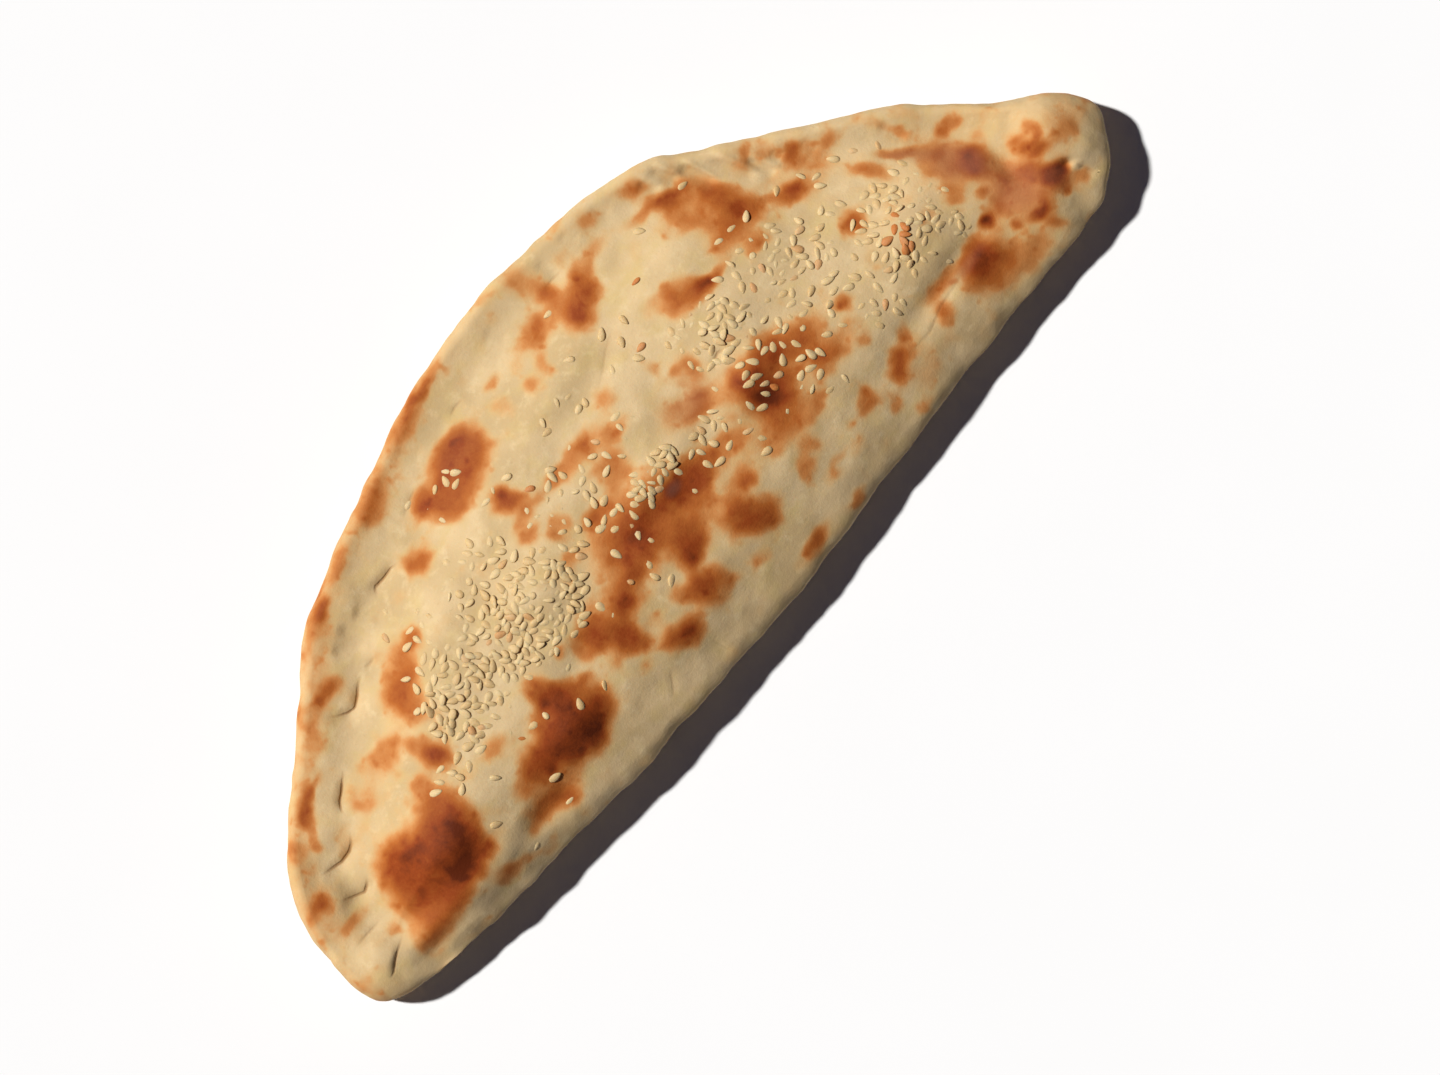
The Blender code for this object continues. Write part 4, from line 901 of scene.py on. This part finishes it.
def baked_dough_finish():
    finish = Finish("baked_dough_crust", Subsurface_Weight=0.08, Subsurface_Scale=0.0016,
                    Subsurface_Radius=(1.0, 0.5, 0.25), Specular_IOR_Level=0.10)
    toast, dusky, rim = finish.stored("toast"), finish.stored("dusky"), finish.stored("rim")
    # A thin dark line of painted shade along each pinch's crease, which also dips the bump.
    crease_shade = finish.stored("tuck") * (1 - abs(finish.stored("tuck_gap")).between(0.10, 0.50))
    # How much shade is painted in each crisp pleat's valley.
    pleat_valley_shade = finish.stored("pleat")
    broad, lumpy, fine = finish.cloud(17.0, 2.0), finish.cloud(3.4, 4.0, 0.6), finish.cloud(0.75, 3.0, 0.6)
    patchy, wide = finish.cloud(6.0, 3.0, 0.6), finish.cloud(9.0, 3.0, 0.6, (1.0, 1.3, 1.0))
    mottle = (lumpy - 0.5) * 0.46 + (fine - 0.5) * 0.34
    freckle = finish.cloud(6.5, 1.0).between(0.44, 0.80) * 0.20
    freckle += finish.cloud(3.0, 1.0).between(0.55, 0.85) * 0.14
    brown = toast + mottle * (0.14 + toast * 0.34) + rim * (0.5 + patchy) + freckle
    dough = finish.mix(broad.between(0.36, 0.66), shade_of(205, 178, 135), shade_of(189, 162, 118))
    dough = finish.mix(lumpy.between(0.48, 0.74) * 0.7, dough, shade_of(213, 189, 146))
    dough = finish.mix(fine.between(0.55, 0.85) * 0.35, dough, shade_of(174, 143, 98))
    dough = finish.mix(wide.between(0.46, 0.74) * 0.6, dough, shade_of(198, 171, 112))
    toasted = finish.ramp(brown, [
        (0.0, shade_of(195, 168, 124)), (0.18, shade_of(203, 161, 104)), (0.36, shade_of(193, 131, 74)),
        (0.57, shade_of(169, 95, 40)), (0.80, shade_of(138, 61, 21)), (1.0, shade_of(94, 37, 13)),
    ])
    colour = finish.mix(brown.between(0.0, 0.42), dough, toasted)
    colour = finish.mix(dusky * brown.between(0.0, 0.5) * 0.55, colour, shade_of(132, 82, 64))
    # The pinch lines: painted shade in each crease, partly the crease's own browning.
    colour = finish.mix(crease_shade * (0.35 + lumpy * 0.5), colour, shade_of(150, 100, 52))
    # Painted shade in the crisp pleats' valleys, deepest on their shaded west sides.
    colour = finish.mix(pleat_valley_shade * 0.24, colour, shade_of(182, 144, 92))
    below = finish.add("ShaderNodeSeparateXYZ", {}, {"Vector": finish.place()}, "Z").between(0.0012, 0.0)
    scorch = finish.mix(patchy.between(0.42, 0.66), shade_of(198, 164, 116), shade_of(158, 98, 52))
    colour = finish.mix(below * 0.85, colour, scorch)
    roughness = 0.74 - brown * 0.12
    height = lumpy * 0.45 + fine * 0.40 + finish.cloud(0.30, 2.0) * 0.15 - crease_shade * 0.7
    return finish.end(colour, roughness, height, 0.21)


def sesame_finish():
    finish = Finish("sesame", Subsurface_Weight=0.30, Subsurface_Scale=0.0015,
                    Subsurface_Radius=(1.0, 0.7, 0.4), Specular_IOR_Level=0.25)
    shade, toasted, low = finish.stored("shade"), finish.stored("toasted"), finish.stored("low")
    speck = finish.cloud(0.5, 3.0)
    pale = finish.mix(shade, shade_of(208, 181, 134), shade_of(198, 165, 114))
    pale = finish.mix(speck.between(0.4, 0.75) * 0.4, pale, shade_of(216, 190, 144))
    colour = finish.mix(toasted, pale, shade_of(186, 112, 54))
    # Painted shade at each seed's low edge, where it meets the dough.
    colour = finish.mix(low * 0.5, colour, shade_of(176, 134, 82))
    return finish.end(colour, 0.55 + speck * 0.1, speck, 0.06)


def table_finish():
    finish = Finish("pale_table", Specular_IOR_Level=0.2)
    soft = finish.cloud(60.0, 2.0)
    return finish.end(finish.mix(soft, (0.87, 0.87, 0.87), (0.89, 0.89, 0.89)), 0.75 + soft * 0.05)


# The setting

def set_the_table():
    bm = bmesh.new()
    bmesh.ops.create_grid(bm, x_segments=2, y_segments=2, size=3.0)
    mesh = bpy.data.meshes.new("table")
    bm.to_mesh(mesh)
    bm.free()
    mesh.materials.append(table_finish())
    floor = bpy.data.objects.new("table", mesh)
    bpy.context.scene.collection.objects.link(floor)


def light_it():
    sun = bpy.data.lights.new("key_light", "SUN")
    sun.energy, sun.angle, sun.color = LIGHT_STRENGTH, math.radians(LIGHT_SPREAD), LIGHT_COLOUR
    lamp = bpy.data.objects.new("key_light", sun)
    raised = math.radians(LIGHT_ELEVATION)
    level = math.cos(raised)
    travel = -Vector((LIGHT_FROM[0] * level, LIGHT_FROM[1] * level, math.sin(raised)))
    lamp.rotation_euler = travel.to_track_quat("-Z", "Y").to_euler()
    bpy.context.scene.collection.objects.link(lamp)
    world = bpy.data.worlds.new("room")
    world.use_nodes = True
    glow = world.node_tree.nodes["Background"].inputs
    glow["Color"].default_value, glow["Strength"].default_value = (*ROOM_COLOUR, 1.0), ROOM_STRENGTH
    bpy.context.scene.world = world
    bpy.context.scene.view_settings.view_transform = "Standard"


def point_the_camera():
    lens = bpy.data.cameras.new("camera")
    lens.lens, lens.sensor_width = VIEW_LENS, 36.0
    camera = bpy.data.objects.new("camera", lens)
    camera.location = Vector(VIEW_PLACE) * MM
    camera.rotation_euler = (0.0, 0.0, math.radians(VIEW_TURN))
    bpy.context.scene.collection.objects.link(camera)
    bpy.context.scene.camera = camera


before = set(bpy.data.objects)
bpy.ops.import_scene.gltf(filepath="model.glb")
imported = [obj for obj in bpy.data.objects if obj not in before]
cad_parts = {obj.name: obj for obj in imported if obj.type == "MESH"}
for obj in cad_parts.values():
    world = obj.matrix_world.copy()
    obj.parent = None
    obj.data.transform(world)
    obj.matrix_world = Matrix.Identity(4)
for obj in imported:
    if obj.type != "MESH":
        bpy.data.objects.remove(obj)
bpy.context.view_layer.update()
dough = Dough()
make_crust(dough, baked_dough_finish())
make_seeds(dough, sesame_finish())
set_the_table()
light_it()
point_the_camera()
